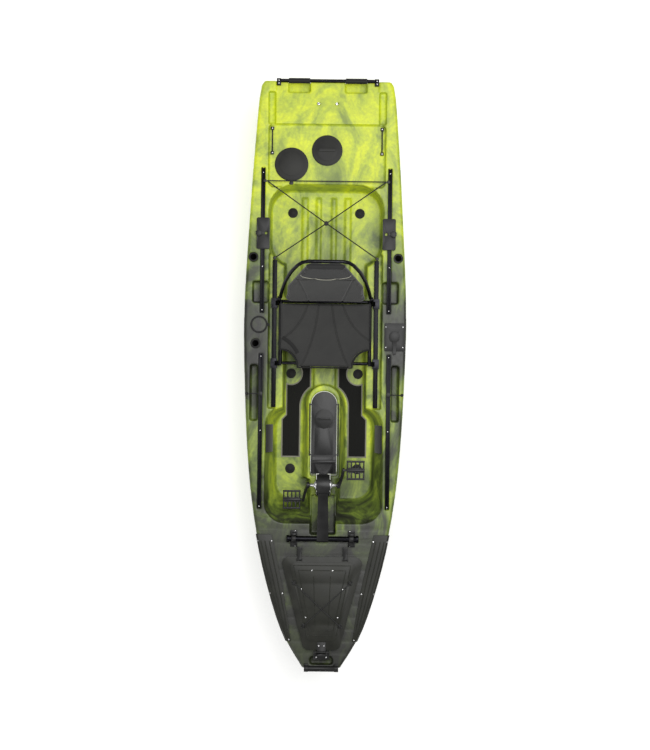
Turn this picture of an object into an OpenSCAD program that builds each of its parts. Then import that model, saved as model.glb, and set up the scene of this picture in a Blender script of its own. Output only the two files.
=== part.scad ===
// Pedal-drive fishing boat: a sit-on-top hull with a tilting propeller drive,
// a sliding sling seat, hatches, gear tracks and a lever-steered rudder.
// Origin on the centreline, amidships, at the waterline. +X port, +Y aft, +Z up.

/* [Hull] */
// Greatest width of the hull
beam = 1006; // [990:2:1016]
// Thickness of the moulded wall
wall = 5.5; // [5:0.5:8]
// Height of the footwell floor above the waterline
footwell_floor = 30; // [24:1:34]
// Height of the tank well floor above the waterline
tank_floor = 45; // [38:1:50]
// Half the width of the footwell at its rim
footwell_half = 366; // [360:1:370]
// Radius of each scupper drain
scupper_r = 19; // [17:0.5:22]

/* [Pedal drive] */
// Height of the crank axle above the waterline
crank_z = 285; // [282:1:290]
// Length of each crank arm from axle to pedal spindle
crank_len = 150; // [140:1:152]
// Slope of the port crank arm above straight aft, at rest
crank_rest = 48; // [40:1:56]
// Width of each pedal across the boat
pedal_w = 110; // [96:1:112]
// Length of each pedal along the foot
pedal_l = 118; // [100:1:120]
// Radius of the propeller
prop_r = 140; // [120:1:142]
// Depth of the propeller shaft below the waterline
prop_depth = 320; // [312:1:324]

/* [Seat] */
// Half the width of the sling seat
seat_half = 279; // [265:1:280]
// Top of the sling seat above the waterline
seat_z = 250; // [245:1:258]
// Lean of the backrest back from upright
recline = 27; // [22:1:30]
// Length of the backrest along its slope
back_len = 450; // [420:1:460]

/* [Fittings] */
// Inner radius of the flush rod holders
rod_bore_r = 20.5; // [19:0.25:21]
// Depth of the flush rod holders
rod_depth = 225; // [200:1:230]
// Width of the gear tracks
track_w = 28; // [26:1:30]
// Distance between the two stern inserts
insert_gap = 112; // [100:1:120]
// Depth of the rudder blade below the waterline
rudder_depth = 330; // [280:1:360]

/* [Hidden] */
// Hull lines: [distance aft of amidships, value]
HALF_BEAM = [[-1812, 118], [-1640, 224], [-1395, 316], [-1023, 410], [-589, 471], [0, 503],
             [400, 508], [1023, 477], [1519, 443], [1770, 418], [1806, 396]];
SHEER = [[-1812, 284], [-1500, 259], [-1133, 230], [-800, 211], [-300, 205], [600, 205],
         [1200, 209], [1806, 218]];
KEEL = [[-1812, 90], [-1750, 10], [-1600, -60], [-1300, -100], [-800, -115], [900, -115],
        [1400, -100], [1806, -70]];
FULLNESS = [[-1812, 1.5], [-1300, 2.2], [-600, 3.4], [400, 4], [1806, 3.6]];
STATIONS = concat([-1812, -1795, -1765, -1715, -1650, -1575], [for (y = [-1500:100:1700]) y],
                  [1780, 1806]);
edge_r = 12;
seam_drop = 45;
seam_gap = 0.1;
rim_z = 205;
rear_deck_z = 188;
platform_z = 210;
ledge_z = 165;
island_z = 165;
track_z = 199;

function seg(p, y, i = 0) = (i >= len(p) - 2 || y <= p[i + 1][0]) ? i : seg(p, y, i + 1);
function slope(p, i) =
  let (a = max(i - 1, 0), b = min(i + 1, len(p) - 1)) (p[b][1] - p[a][1]) / (p[b][0] - p[a][0]);
// Smooth curve through the points of a hull line
function curve(p, y) =
  let (i = seg(p, y), h = p[i + 1][0] - p[i][0], t = (y - p[i][0]) / h)
  p[i][1] * (2 * t^3 - 3 * t^2 + 1) + slope(p, i) * h * (t^3 - 2 * t^2 + t)
  + p[i + 1][1] * (-2 * t^3 + 3 * t^2) + slope(p, i + 1) * h * (t^3 - t^2);
function half_beam(y) = curve(HALF_BEAM, y) * beam / 1016;
function sheer(y) = curve(SHEER, y);

// One cross-section of the hull, pulled in by inset
function hull_ring(y, inset) =
  let (yc = min(max(y, -1812 + inset), 1806 - inset), b = half_beam(y) - inset,
       top = sheer(y) - inset, bot = curve(KEEL, y) + inset, e = 2 / curve(FULLNESS, y))
  concat([for (a = [0:10:180])
            [b * sign(cos(a)) * pow(abs(cos(a)), e), yc,
             top - edge_r - (top - edge_r - bot) * pow(sin(a), e)]],
         [[edge_r - b, yc, top], [b - edge_r, yc, top]]);
function below_ring(y, drop) =
  [[600, y, sheer(y) - drop], [600, y, -400], [-600, y, -400], [-600, y, sheer(y) - drop]];

// Skins a row of rings that all have the same number of points
module loft(rings) {
  n = len(rings[0]);
  last = len(rings) - 1;
  polyhedron(
    points = [for (ring = rings, p = ring) p],
    faces = concat([[for (j = [0:n - 1]) j]], [[for (j = [n - 1:-1:0]) last * n + j]],
      [for (i = [0:last - 1], j = [0:n - 1])
        [i * n + j, (i + 1) * n + j, (i + 1) * n + (j + 1) % n, i * n + (j + 1) % n]]));
}
module hull_solid(inset = 0) { loft([for (y = STATIONS) hull_ring(y, inset)]); }
module below_seam(drop) {
  loft([for (y = concat([-1840], STATIONS, [1840])) below_ring(min(max(y, -1840), 1840), drop)]);
}

module both_sides() {
  children();
  mirror([1, 0, 0]) children();
}
module box(x, y, z) {
  translate([x[0], y[0], z[0]]) cube([x[1] - x[0], y[1] - y[0], z[1] - z[0]]);
}
// A straight round rod between two points
module rod(p, q, r, fn = 24) {
  d = q - p;
  translate(p) rotate([0, acos(d.z / norm(d)), atan2(d.y, d.x)]) cylinder(r = r, h = norm(d), $fn = fn);
}
// A round bar along X
module bar_x(x0, x1, y, z, r, fn = 40) {
  translate([x0, y, z]) rotate([0, 90, 0]) cylinder(r = r, h = x1 - x0, $fn = fn);
}
// A round bar along Y
module bar_y(y0, y1, x, z, r, fn = 40) {
  translate([x, y0, z]) rotate([-90, 0, 0]) cylinder(r = r, h = y1 - y0, $fn = fn);
}
// A tube of radius r along a path, its rings squared up against the direction ref
function sweep_ring(path, i, r, ref, sides) =
  let (a = path[max(i - 1, 0)], b = path[min(i + 1, len(path) - 1)], t = (b - a) / norm(b - a),
       u = cross(t, ref) / norm(cross(t, ref)), v = cross(t, u))
  [for (k = [0:sides - 1]) path[i] + r * (cos(360 / sides * k) * u + sin(360 / sides * k) * v)];
module swept_tube(path, r, ref = [0, 0, 1], sides = 8) {
  loft([for (i = [0:len(path) - 1]) sweep_ring(path, i, r, ref, sides)]);
}
// A rounded slab, for outlines that carry no fit
module slab(x, y, z, r) {
  hull() for (px = [x[0] + r, x[1] - r], py = [y[0] + r, y[1] - r])
    translate([px, py, z[0]]) cylinder(r = r, h = z[1] - z[0], $fn = 24);
}
// A moulded well: rounded in plan, narrowing downwards from its rim, open upwards
module well(half, y0, y1, floor_z, pull, pull0, pull1, r, g) {
  hull() for (s = [-1, 1]) {
    for (c = [[y0 - g, 1], [y1 + g, -1]]) {
      translate([s * (half - r), c[0] + c[1] * (r + g), rim_z])
        cylinder(r = r + g, h = 200, $fn = 32);
    }
    for (c = [[y0 - g + pull0, 1], [y1 + g - pull1, -1]]) {
      translate([s * (half - pull - r * 0.8), c[0] + c[1] * (r * 0.8 + g), floor_z - g])
        cylinder(r = r * 0.8 + g, h = 1, $fn = 32);
    }
  }
}
// The raised box down the middle of the cockpit that the drive well runs through
module island(g) {
  hull() {
    for (c = [[98, island_z - g], [138, footwell_floor - 20]]) {
      translate([0, -75 - c[0], c[1] - 1]) cylinder(r = c[0] - g, h = 1, $fn = 40);
      box([g - c[0], c[0] - g], [-660, -640], [c[1] - 1, c[1]]);
    }
  }
  hull() for (c = [[79, island_z - g], [104, footwell_floor - 20]])
    box([g - c[0], c[0] - g], [-1000, -640], [c[1] - 1, c[1]]);
  box([g - 68, 68 - g], [-170, 340], [0, footwell_floor + 25 - g]);
}
module drive_well(g) {
  hull() {
    translate([0, -195, -300]) cylinder(r = 83 + g, h = 700, $fn = 40);
    box([-83 - g, 83 + g], [-640 - g, -630], [-300, 400]);
  }
  box([-45 - g, 45 + g], [-770 - g, -600], [-300, 400]);
}
module scupper_bores(r) {
  for (c = [[1008, tank_floor], [-4, footwell_floor], [-605, footwell_floor]])
    for (s = [-1, 1]) translate([s * 211, c[0], -300]) cylinder(r = r, h = 300 + c[1] + 1, $fn = 32);
}
// Rod holders: [x, y], each leaning outboard and aft
HOLDERS = [[449, 715], [-449, 715], [-431, 180]];
holder_rim_z = 206;
module at_holder(c) {
  translate([c[0], c[1], holder_rim_z]) rotate([-12, sign(c[0]) * 7, 0]) children();
}
// Holes for the tubes, with a shallow countersink for their flanges
module holder_bores() {
  for (c = HOLDERS) at_holder(c) {
    translate([0, 0, -rod_depth - 20]) cylinder(r = 24.4, h = rod_depth + 30, $fn = 48);
    translate([0, 0, -0.3]) cylinder(r = 30.6, h = 60, $fn = 48);
  }
}
// The hatch plane on the bow, sloping up towards the bow end
hatch_tilt = 4.4;
module at_hatch() { translate([0, -1133, 232]) rotate([-hatch_tilt, 0, 0]) children(); }
module hatch_outline(in, z) {
  hull() for (c = [[245, 0, 45], [117, -568, 40]], s = [-1, 1])
    translate([s * (c[0] - c[2]), c[1] + (c[1] < -100 ? c[2] : -c[2]), z[0]])
      cylinder(r = c[2] - in, h = z[1] - z[0], $fn = 32);
}
// Notches in the transom that leave room for the fingers under the stern grips
module hand_gaps(g) {
  both_sides() box([108 - g, 244 + g], [1736 - g, 1840], [ledge_z - g, 400]);
}
// Everything that is hollowed out of the deck from above, grown by g for the shell's outside
module deck_wells(g) {
  difference() {
    union() {
      well(footwell_half, -930, -200, footwell_floor, 66, 140, 40, 130, g);
      well(262, -400, 300, footwell_floor, 14, 0, 25, 40, g);
    }
    island(g);
  }
  both_sides() {
    box([240 - g, 352 + g], [-223 - g, 740 + g], [ledge_z - g, 400]);
    slab([412 - g, 462 + g], [-300 - g, 48 + g], [rim_z - 70 - g, 400], 14);
    slab([352 - g, 453 + g], [432 - g, 567 + g], [rim_z - 60 - g, 400], 14);
    box([382 - g, 410 + g], [-846 - g, 118 + g], [track_z - g, 400]);
    box([379 - g, 407 + g], [368 - g, 1271 + g], [track_z - g, 400]);
    box([322 - g, 365 + g], [1541 - g, 1740 + g], [rear_deck_z - g, 400]);
  }
  hand_gaps(g);
  well(356, 640, 1175, tank_floor, 10, 40, 30, 165, g);
  well(262, 450, 760, tank_floor, 10, 20, 0, 40, g);
  slab([-362 - g, 362 + g], [1150, 1541 + g], [rear_deck_z - g, 400], 30);
  box([-322 - g, 322 + g], [1541 - g, 1840], [platform_z - g, 400]);
  box([-77 - g, 77 + g], [-1000 - g, -760], [150 - g, 400]);
  slab([-70 - g, 70 + g], [-1790 - g, -1742 + g], [255 - g, 400], 16);
}
// Raised flats that fittings stand on: [x, y, half width, half length, z], on both sides
PADS = [[178, -1013, 24, 64, 226], [141, -1105, 20, 13, 236], [96, -1797, 18, 15, 286],
        [430, 226, 64, 88, 207]];
module pads(up) {
  both_sides() for (p = PADS)
    box([p[0] - p[2], p[0] + p[2]], [p[1] - p[3], p[1] + p[3]], up ? [p[4], 400] : [p[4] - 24, p[4]]);
  at_hatch() box([-52, 52], [-628, -580], up ? [3, 60] : [-24, 3]);
}
module rudder_recess(g) {
  translate([0, 0, -300]) linear_extrude(450 + g)
    polygon([[-90 - g, 1560 - g], [90 + g, 1560 - g], [165 + g, 1806], [165 + g, 1840],
             [-165 - g, 1840], [-165 - g, 1806]]);
}

// Lower half of the moulding, up to the parting line below the gunwale
module hull_bottom() {
  color([0.55, 0.68, 0.12]) difference() {
    intersection() {
      union() {
        difference() {
          hull_solid();
          hull_solid(wall);
        }
        intersection() {
          hull_solid();
          rudder_recess(wall);
        }
      }
      below_seam(seam_drop + seam_gap);
    }
    rudder_recess(0);
    drive_well(wall + 0.2);
    scupper_bores(scupper_r + wall + 0.2);
    hand_gaps(wall + 0.2);
  }
}

// Upper half of the moulding: gunwales, wells, drive well and scupper tubes. It is cut
// into four, at the forward end of the cockpit, on the centreline and behind the seat
bow_cut = -985;
aft_cut = 380;
cut_gap = 0.05;
module deck_part(x, y) {
  intersection() {
    deck();
    box(x, y, [-400, 500]);
  }
}
module deck() {
  color([0.60, 0.74, 0.12]) difference() {
    intersection() {
      hull_solid();
      union() {
        difference() {
          hull_solid();
          below_seam(seam_drop);
          hull_solid(wall);
        }
        deck_wells(wall);
        scupper_bores(scupper_r + wall);
        drive_well(wall);
        pads(false);
        at_hatch() hatch_outline(0, [-24, 3]);
      }
    }
    deck_wells(0);
    drive_well(0);
    scupper_bores(scupper_r);
    pads(true);
    at_hatch() hatch_outline(-40, [3, 60]);
    at_hatch() hatch_outline(28, [-60, 60]);
    holder_bores();
    translate([-220, 1293, 150]) cylinder(r = 84, h = 100, $fn = 48);
    translate([0, 1381, 150]) cylinder(r = 76, h = 100, $fn = 48);
    for (s = [-1, 1]) translate([s * insert_gap / 2, 1668, 100]) cylinder(r = 8.4, h = 200, $fn = 32);
    translate([430, 229, 100]) cylinder(r = 9, h = 200, $fn = 32);
  }
}

// Protective strips along the bow gunwales
TRIM_IN = [[-1650, 188], [-1340, 240], [-1000, 316]];
trim_t = 7;
function trim_ring(y) =
  let (b = half_beam(y), s = sheer(y) + 0.8, x = curve(TRIM_IN, y))
  [[b + 4, y, s - edge_r], [b + 1, y, s - edge_r], [b - edge_r, y, s], [x, y, s], [x, y, s + trim_t],
   [b - 8, y, s + trim_t], [b + 4, y, s - 4]];
module bow_trims() {
  color("dimgray") both_sides()
    loft([for (y = [for (q = STATIONS) if (q >= -1650 && q <= -1000) q]) trim_ring(y)]);
}

// Carrying handle across the bow end: a thick grip on two feet
bow_grip_z = 318;
module bow_handle() {
  color("black") {
    difference() {
      bar_x(-80, 80, -1808, bow_grip_z, 18);
      bar_x(-81, 81, -1808, bow_grip_z, 10);
    }
    bar_x(-80, 80, -1808, bow_grip_z, 10);
    both_sides() {
      bar_x(80, 105, -1808, bow_grip_z, 20);
      box([80, 105], [-1812, -1784], [286, bow_grip_z - 12]);
    }
  }
}

// Bar across the transom that the boat is dragged and lifted by
stern_bar_z = 222;
module stern_grab_bar() {
  color("dimgray") {
    bar_x(-290, 290, 1806, stern_bar_z, 11);
    both_sides() box([290, 316], [1776, 1818], [platform_z, stern_bar_z + 12]);
  }
}
module stern_grips() {
  color("black") both_sides() difference() {
    bar_x(110, 242, 1806, stern_bar_z, 18.5);
    bar_x(100, 254, 1806, stern_bar_z, 11);
  }
}

// Bow hatch lid: a shallow moulded shell with a raised panel, and a lip that meets the gasket
lid_z = 6;
lid_t = 20;
panel_t = 5;
module bow_hatch_lid() {
  color([0.20, 0.21, 0.10]) at_hatch() difference() {
    union() {
      hatch_outline(0, [lid_z, lid_z + lid_t]);
      hull() for (c = [[197, -66, 30], [91, -486, 26]], s = [-1, 1])
        translate([s * (c[0] - c[2]), c[1], lid_z + lid_t]) cylinder(r = c[2], h = panel_t, $fn = 24);
    }
    difference() {
      hatch_outline(5, [lid_z - 1, lid_z + lid_t - 5]);
      difference() {
        hatch_outline(14, [lid_z + 3.2, lid_z + lid_t]);
        hatch_outline(19, [lid_z, lid_z + lid_t + 1]);
      }
    }
    for (e = EYES, s = [-1, 1]) translate([s * e[0], e[1], lid_z + lid_t]) cylinder(r = 19, h = 20, $fn = 48);
  }
}
module bow_hatch_gasket() {
  color("black") at_hatch() difference() {
    hatch_outline(12, [3, lid_z + 3]);
    hatch_outline(22, [0, 40]);
  }
}
// Hatch hinge: the leaf screwed to the deck, with its pin
hinge_y = -580;
hinge_zl = 33;
pin_r = 3;
pin_bore_r = 3.05;
module bow_hatch_hinge() {
  color("black") at_hatch() {
    box([-50, 50], [-626, -590], [3, 27]);
    for (s = [-1, 1]) difference() {
      hull() {
        bar_x(s * 38 - 9, s * 38 + 9, hinge_y, hinge_zl, 7);
        box([s * 38 - 9, s * 38 + 9], [-606, -596], [22, 27]);
      }
      bar_x(-60, 60, hinge_y, hinge_zl, pin_r);
    }
    bar_x(-50, 50, hinge_y, hinge_zl, pin_r);
  }
}
// The lid's own hinge leaf and the pad eyes, all screwed to the lid
module pad_eye() {
  slab([-14, 14], [-8, 8], [0, 3], 5);
  translate([0, 0, 3]) intersection() {
    rotate([90, 0, 0]) translate([0, 0, -3]) difference() {
      cylinder(r = 12, h = 6, $fn = 48);
      translate([0, 0, -1]) cylinder(r = 7, h = 8, $fn = 48);
    }
    box([-20, 20], [-10, 10], [0, 20]);
  }
}
EYES = [[172, -163], [111, -422]];
eye_z = lid_z + lid_t;
eye_yaw = 47;
module hatch_pad_eyes() {
  color("black") at_hatch() {
    for (i = [0, 1], s = [-1, 1])
      translate([s * EYES[i][0], EYES[i][1], eye_z]) rotate([0, 0, s * (i == 0 ? -eye_yaw : eye_yaw)])
        pad_eye();
    difference() {
      union() {
        box([-27, 27], [-566, -520], [eye_z, eye_z + 4]);
        bar_x(-27, 27, hinge_y, hinge_zl, 7);
        box([-27, 27], [-576, -560], [hinge_zl - 6.5, hinge_zl - 3]);
      }
      bar_x(-60, 60, hinge_y, hinge_zl, pin_bore_r);
    }
  }
}
// Elastic cord crossed over the lid, ending in knots beyond the pad eyes
cord_r = 3;
module hatch_bungee() {
  color("black") at_hatch() {
    c0 = eye_z + 6.3;
    over = [0, 0, 2.3];
    for (s = [-1, 1]) {
      a = [s * EYES[0][0], EYES[0][1], c0];
      b = [-s * EYES[1][0], EYES[1][1], c0];
      d = (a - b) / norm(a - b);
      crossing = a + (b - a) * a.x / (a.x - b.x);
      swept_tube([a + 12 * d, a - 6 * d, a - 18 * d + over, crossing + over * (s > 0 ? 1 : 4),
                  b + 18 * d + over, b + 6 * d, b - 12 * d], cord_r);
      for (q = [a + 12.3 * d, b - 19.3 * d]) rod(q, q + 7 * d, 5.5);
    }
  }
}
// Blocks on the deck that the hatch straps drop over
latch_x = 141;
module hatch_keepers() {
  color("black") both_sides() box([latch_x - 14, latch_x + 14], [-1116, -1097], [236, 262]);
}
// Rubber strap pinned on the lid's aft edge; it lifts off the keeper
strap_y = -18;
strap_z = eye_z + 8;
module hatch_latch(s) {
  color("black") at_hatch() difference() {
    union() {
      bar_x(s * latch_x - 12, s * latch_x + 12, strap_y, strap_z, 6);
      box([s * latch_x - 12, s * latch_x + 12], [strap_y, 46], [strap_z, strap_z + 5]);
      box([s * latch_x - 12, s * latch_x + 12], [41, 46], [10, strap_z + 5]);
      box([s * latch_x - 17, s * latch_x + 17], [46, 60], [strap_z - 2, strap_z + 5]);
    }
    bar_x(s * latch_x - 30, s * latch_x + 30, strap_y, strap_z, pin_bore_r);
  }
}
module latch_ears() {
  at_hatch() both_sides() {
    for (x = [latch_x - 18, latch_x + 12.5]) difference() {
      box([x, x + 5.5], [strap_y - 7, strap_y + 7], [eye_z, strap_z + 6]);
      bar_x(x - 1, x + 7, strap_y, strap_z, pin_r);
    }
    bar_x(latch_x - 18, latch_x + 18, strap_y, strap_z, pin_r);
  }
}

// Cradles on the deck that the drive's cross tube lies in, with the strap's pin and keeper
tube_y = -1023;
tube_z = 246;
tube_r = 17;
saddle_x = 178;
saddle_base = 226;
latch_pin_y = tube_y + 32;
module drive_saddles() {
  color("black") both_sides() {
    difference() {
      union() {
        box([saddle_x - 22, saddle_x + 22], [-1075, -973], [saddle_base, saddle_base + 3]);
        box([saddle_x - 14, saddle_x + 14], [tube_y - 23, tube_y + 20], [saddle_base, tube_z - 1]);
        box([saddle_x - 14, saddle_x + 14], [tube_y - 40, tube_y - 23], [saddle_base, tube_z - 1]);
      }
      bar_x(100, 250, tube_y, tube_z, tube_r + 0.3);
    }
    for (x = [saddle_x - 19, saddle_x + 13.5]) difference() {
      box([x, x + 5.5], [latch_pin_y - 8, latch_pin_y + 8], [saddle_base + 3, tube_z + 8]);
      bar_x(x - 1, x + 7, latch_pin_y, tube_z, pin_r);
    }
    bar_x(saddle_x - 19, saddle_x + 19, latch_pin_y, tube_z, pin_r);
  }
}
// Strap over the cross tube, hinged aft of it
module drive_latch(s) {
  color("black") difference() {
    union() {
      intersection() {
        bar_x(s * saddle_x - 13, s * saddle_x + 13, tube_y, tube_z, 24);
        box([-300, 300], [tube_y - 40, tube_y + 40], [tube_z, tube_z + 40]);
      }
      box([s * saddle_x - 13, s * saddle_x + 13], [tube_y - 44, tube_y - 20], [tube_z - 0.5, tube_z + 5]);
      box([s * saddle_x - 13, s * saddle_x + 13], [tube_y + 20, latch_pin_y], [tube_z, tube_z + 6]);
      bar_x(s * saddle_x - 13, s * saddle_x + 13, latch_pin_y, tube_z, 6);
    }
    bar_x(s * saddle_x - 20, s * saddle_x + 20, tube_y, tube_z, tube_r + 2);
    bar_x(s * saddle_x - 30, s * saddle_x + 30, latch_pin_y, tube_z, pin_bore_r);
  }
}

// Round access hatches on the rear deck: [x, y, ring outer radius, neck radius]
LARGE = [-220, 1293, 104, 83.5];
SMALL = [0, 1381, 95, 75.5];
module ring_at(h) {
  translate([h[0], h[1], rear_deck_z]) difference() {
    union() {
      cylinder(r = h[2], h = 5, $fn = 96);
      translate([0, 0, -22]) cylinder(r = h[3], h = 34, $fn = 96);
    }
    translate([0, 0, -30]) cylinder(r = h[3] - 4, h = 60, $fn = 96);
  }
}
module rear_hatch_rings() {
  color("black") {
    ring_at(LARGE);
    ring_at(SMALL);
    translate([LARGE[0], LARGE[1] - 112, rear_deck_z]) slab([-12, 12], [-14, 9], [0, 5], 6);
  }
}
module round_lid(h, rim) {
  translate([h[0], h[1], rear_deck_z + 5.3]) difference() {
    union() {
      cylinder(r = rim, h = 12, $fn = 96);
      translate([0, 0, 12]) cylinder(r = rim * 0.72, h = 3, $fn = 96);
    }
    difference() {
      translate([0, 0, -1]) cylinder(r = rim - 5, h = 10, $fn = 96);
      translate([0, 0, 5]) cylinder(r = h[3] - 5, h = 20, $fn = 96);
    }
    translate([0, 0, -1]) cylinder(r = h[3] - 9, h = 9, $fn = 96);
  }
}
module large_hatch_lid() {
  color("black") round_lid(LARGE, 100);
}
module small_hatch_lid() {
  color("black") {
    round_lid(SMALL, 91);
    translate([SMALL[0], SMALL[1], rear_deck_z + 20.3]) slab([-52, 52], [-9, 9], [0, 10], 8);
  }
}

// Short rails beside the rear deck for tying gear down
module tie_rails() {
  color("black") both_sides() {
    for (y = [1362, 1514]) box([330, 350], [y - 9, y + 9], [rear_deck_z, rear_deck_z + 18]);
    bar_y(1371, 1505, 340, rear_deck_z + 11, 4);
  }
}

// Aluminium gear tracks with a T-slot along their top
module track(x, y0, y1) {
  slot = 9;
  difference() {
    box([x - track_w / 2 + 1, x + track_w / 2 - 1], [y0 + 1, y1 - 1], [track_z, track_z + 10]);
    box([x - slot / 2, x + slot / 2], [y0, y1], [track_z + 3, track_z + 20]);
    box([x - slot, x + slot], [y0, y1], [track_z + 3, track_z + 7]);
  }
}
module gear_tracks() {
  color("dimgray") both_sides() {
    track(393, 368, 1271);
    track(396, -846, 118);
  }
}
// Accessory plate that slides along the rear track and is clamped by a knob
module track_bracket(s) {
  color("black") {
    difference() {
      slab(s > 0 ? [349, 430] : [-430, -349], [764, 958], [track_z + 12, track_z + 24], 10);
      translate([s * 417, 862, track_z]) cylinder(r = 4.05, h = 40, $fn = 32);
      translate([s * 372, 862, track_z + 10]) cylinder(r = 9, h = 40, $fn = 32);
    }
    box([s * 393 - 4, s * 393 + 4], [800, 922], [track_z + 3.5, track_z + 12]);
  }
}
module bracket_knob(s) {
  color("black") translate([s * 417, 862, track_z + 12.5]) {
    cylinder(r = 4, h = 14, $fn = 32);
    difference() {
      translate([0, 0, 12]) cylinder(r = 19, h = 16, $fn = 64);
      for (a = [0:60:300]) rotate([0, 0, a]) translate([21, 0, 11]) cylinder(r = 5, h = 20, $fn = 32);
    }
  }
}

// Elastic cords crossed over the tank well, gathered in a puck
TANK = [[370, 1186, 219], [0, 927, 205], [310, 718, 180]];
module tank_bungee() {
  color("black") {
    both_sides() {
      rod(TANK[0], TANK[1], 3.5);
      rod(TANK[1], TANK[2], 3.5);
    }
    rod([-TANK[0].x, TANK[0].y, TANK[0].z], TANK[0], 3.5);
    translate(TANK[1] - [0, 0, 8]) cylinder(r = 14, h = 16, $fn = 48);
  }
}
module bungee_anchors() {
  color("black") both_sides() {
    translate([TANK[0].x + 12.6, TANK[0].y, track_z + 10]) cylinder(r = 10, h = 16, $fn = 32);
    translate([TANK[2].x + 8.5, TANK[2].y - 5.8, ledge_z]) cylinder(r = 10, h = 20, $fn = 32);
  }
}

// Rubber plugs in the six scupper drains
module scupper_plugs() {
  color("black") both_sides() for (c = [[1008, tank_floor], [-4, footwell_floor], [-605, footwell_floor]])
    translate([211, c[0], c[1]]) {
      cylinder(r = 31, h = 5, $fn = 64);
      translate([0, 0, 5]) cylinder(r = 13, h = 7, $fn = 48);
      translate([0, 0, -32]) cylinder(r = scupper_r - 1, h = 32, $fn = 48);
    }
}

// Flush rod holders: closed-bottom tubes with a flange
module rod_holders() {
  color("black") for (c = HOLDERS) at_holder(c) difference() {
    union() {
      translate([0, 0, -rod_depth - 4]) cylinder(r = 24, h = rod_depth + 8, $fn = 64);
      cylinder(r = 30, h = 4, $fn = 64);
    }
    translate([0, 0, -rod_depth]) cylinder(r = rod_bore_r, h = rod_depth + 10, $fn = 64);
  }
}
// Retaining ring beside the seat, with its strap
module holder_ring() {
  color("black") {
    translate([-409, 297, rim_z + 1.5]) difference() {
      cylinder(r = 53, h = 7, $fn = 64);
      translate([0, 0, -1]) cylinder(r = 43, h = 9, $fn = 64);
    }
    box([-358, -345], [290, 304], [rim_z + 1.5, rim_z + 6]);
  }
}

// Steering plate by the seat, with the lever on its hub
STEER = [430, 229];
module steering_plate() {
  color("dimgray") difference() {
    union() {
      slab([368, 492], [140, 313], [207, 212], 6);
      translate([STEER[0], STEER[1], 196]) cylinder(r = 8, h = 12, $fn = 32);
    }
    translate([STEER[0], STEER[1], 190]) cylinder(r = 6.05, h = 40, $fn = 32);
  }
}
module steering_lever() {
  color("dimgray") translate([STEER[0], STEER[1], 0]) {
    translate([0, 0, 150]) cylinder(r = 6, h = 70, $fn = 32);
    translate([0, 0, 212.4]) cylinder(r = 31, h = 18, $fn = 64);
    hull() {
      translate([0, -20, 216]) cylinder(r = 14, h = 10, $fn = 32);
      translate([0, -104, 218]) cylinder(r = 9, h = 10, $fn = 32);
    }
    translate([0, 0, 148]) slab([-40, 40], [-9, 9], [0, 8], 8);
  }
}
// Push-pull cables inside the hull, from the lever's arm to the rudder bracket
CABLES = [
  [[392, 229, 142], [391, 300, 132], [391, 460, 120], [391, 900, 118], [391, 1250, 118],
   [372, 1400, 122], [300, 1500, 128], [200, 1540, 130], [110, 1548, 124]],
  [[468, 229, 142], [462, 300, 126], [420, 400, 108], [402, 520, 106], [402, 900, 104],
   [402, 1280, 104], [380, 1420, 108], [300, 1522, 112], [180, 1546, 112], [60, 1548, 106]]];
module steering_cables() {
  color("black") for (path = CABLES)
    swept_tube(path, 4);
}

// Rudder hung in a recess under the stern, on a vertical pin
rudder_y = 1640;
kick_y = 1692;
kick_z = 40;
module rudder_bracket() {
  color("dimgray") {
    difference() {
      union() {
        box([-40, 40], [1560.5, 1580], [40, 146]);
        for (z = [58, 126]) hull() {
          box([-22, 22], [1579, 1581], [z, z + 14]);
          translate([0, rudder_y, z]) cylinder(r = 18, h = 14, $fn = 48);
        }
      }
      translate([0, rudder_y, 30]) cylinder(r = 8, h = 120, $fn = 48);
    }
    translate([0, rudder_y, 52]) cylinder(r = 8, h = 94, $fn = 48);
  }
}
module rudder_stock() {
  color("black") difference() {
    union() {
      translate([0, rudder_y, 73]) cylinder(r = 18, h = 52, $fn = 48);
      box([-14, 14], [rudder_y, kick_y - 4], [73, 100]);
      for (x = [-14, 8.3]) box([x, x + 5.7], [kick_y - 20, kick_y + 20], [22, 74]);
    }
    translate([0, rudder_y, 60]) cylinder(r = 8.05, h = 80, $fn = 48);
    bar_x(-20, 20, kick_y, kick_z, 5);
  }
  color("silver") bar_x(-14, 14, kick_y, kick_z, 5);
}
// Blade that kicks up aft about the stock's cross pin
module rudder_blade() {
  color("black") difference() {
    union() {
      hull() for (c = [[kick_z, 1668, 1718], [-40, 1640, 1776], [20 - rudder_depth, 1662, 1768]])
        for (y = [c[1] + 10, c[2] - 10]) translate([-6.5, y, c[0]]) rotate([0, 90, 0])
          cylinder(r = 10, h = 13, $fn = 24);
      bar_x(-8, 8, kick_y, kick_z, 20);
    }
    bar_x(-20, 20, kick_y, kick_z, 5.05);
  }
}

// Foam mats glued to the footwell floor, notched round the scuppers
module floor_mats() {
  color([0.10, 0.10, 0.10]) both_sides() translate([0, 0, footwell_floor]) linear_extrude(4)
    difference() {
      polygon([[84, 60], [84, -213], [149, -213], [149, -533], [269, -533], [269, -292], [242, -264],
               [242, -20], [190, 60]]);
      translate([0, -213]) circle(r = 149, $fn = 96);
      translate([211, -4]) circle(r = 67, $fn = 96);
    }
}
// Mesh pockets on the inner sides of the footwell
module side_nets() {
  color([0.15, 0.15, 0.15]) both_sides() translate([0, -324, 0]) rotate([90, 0, 0])
    linear_extrude(172) polygon([[360, 198], [350, 198], [318, 112], [328, 112]]);
}
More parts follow.
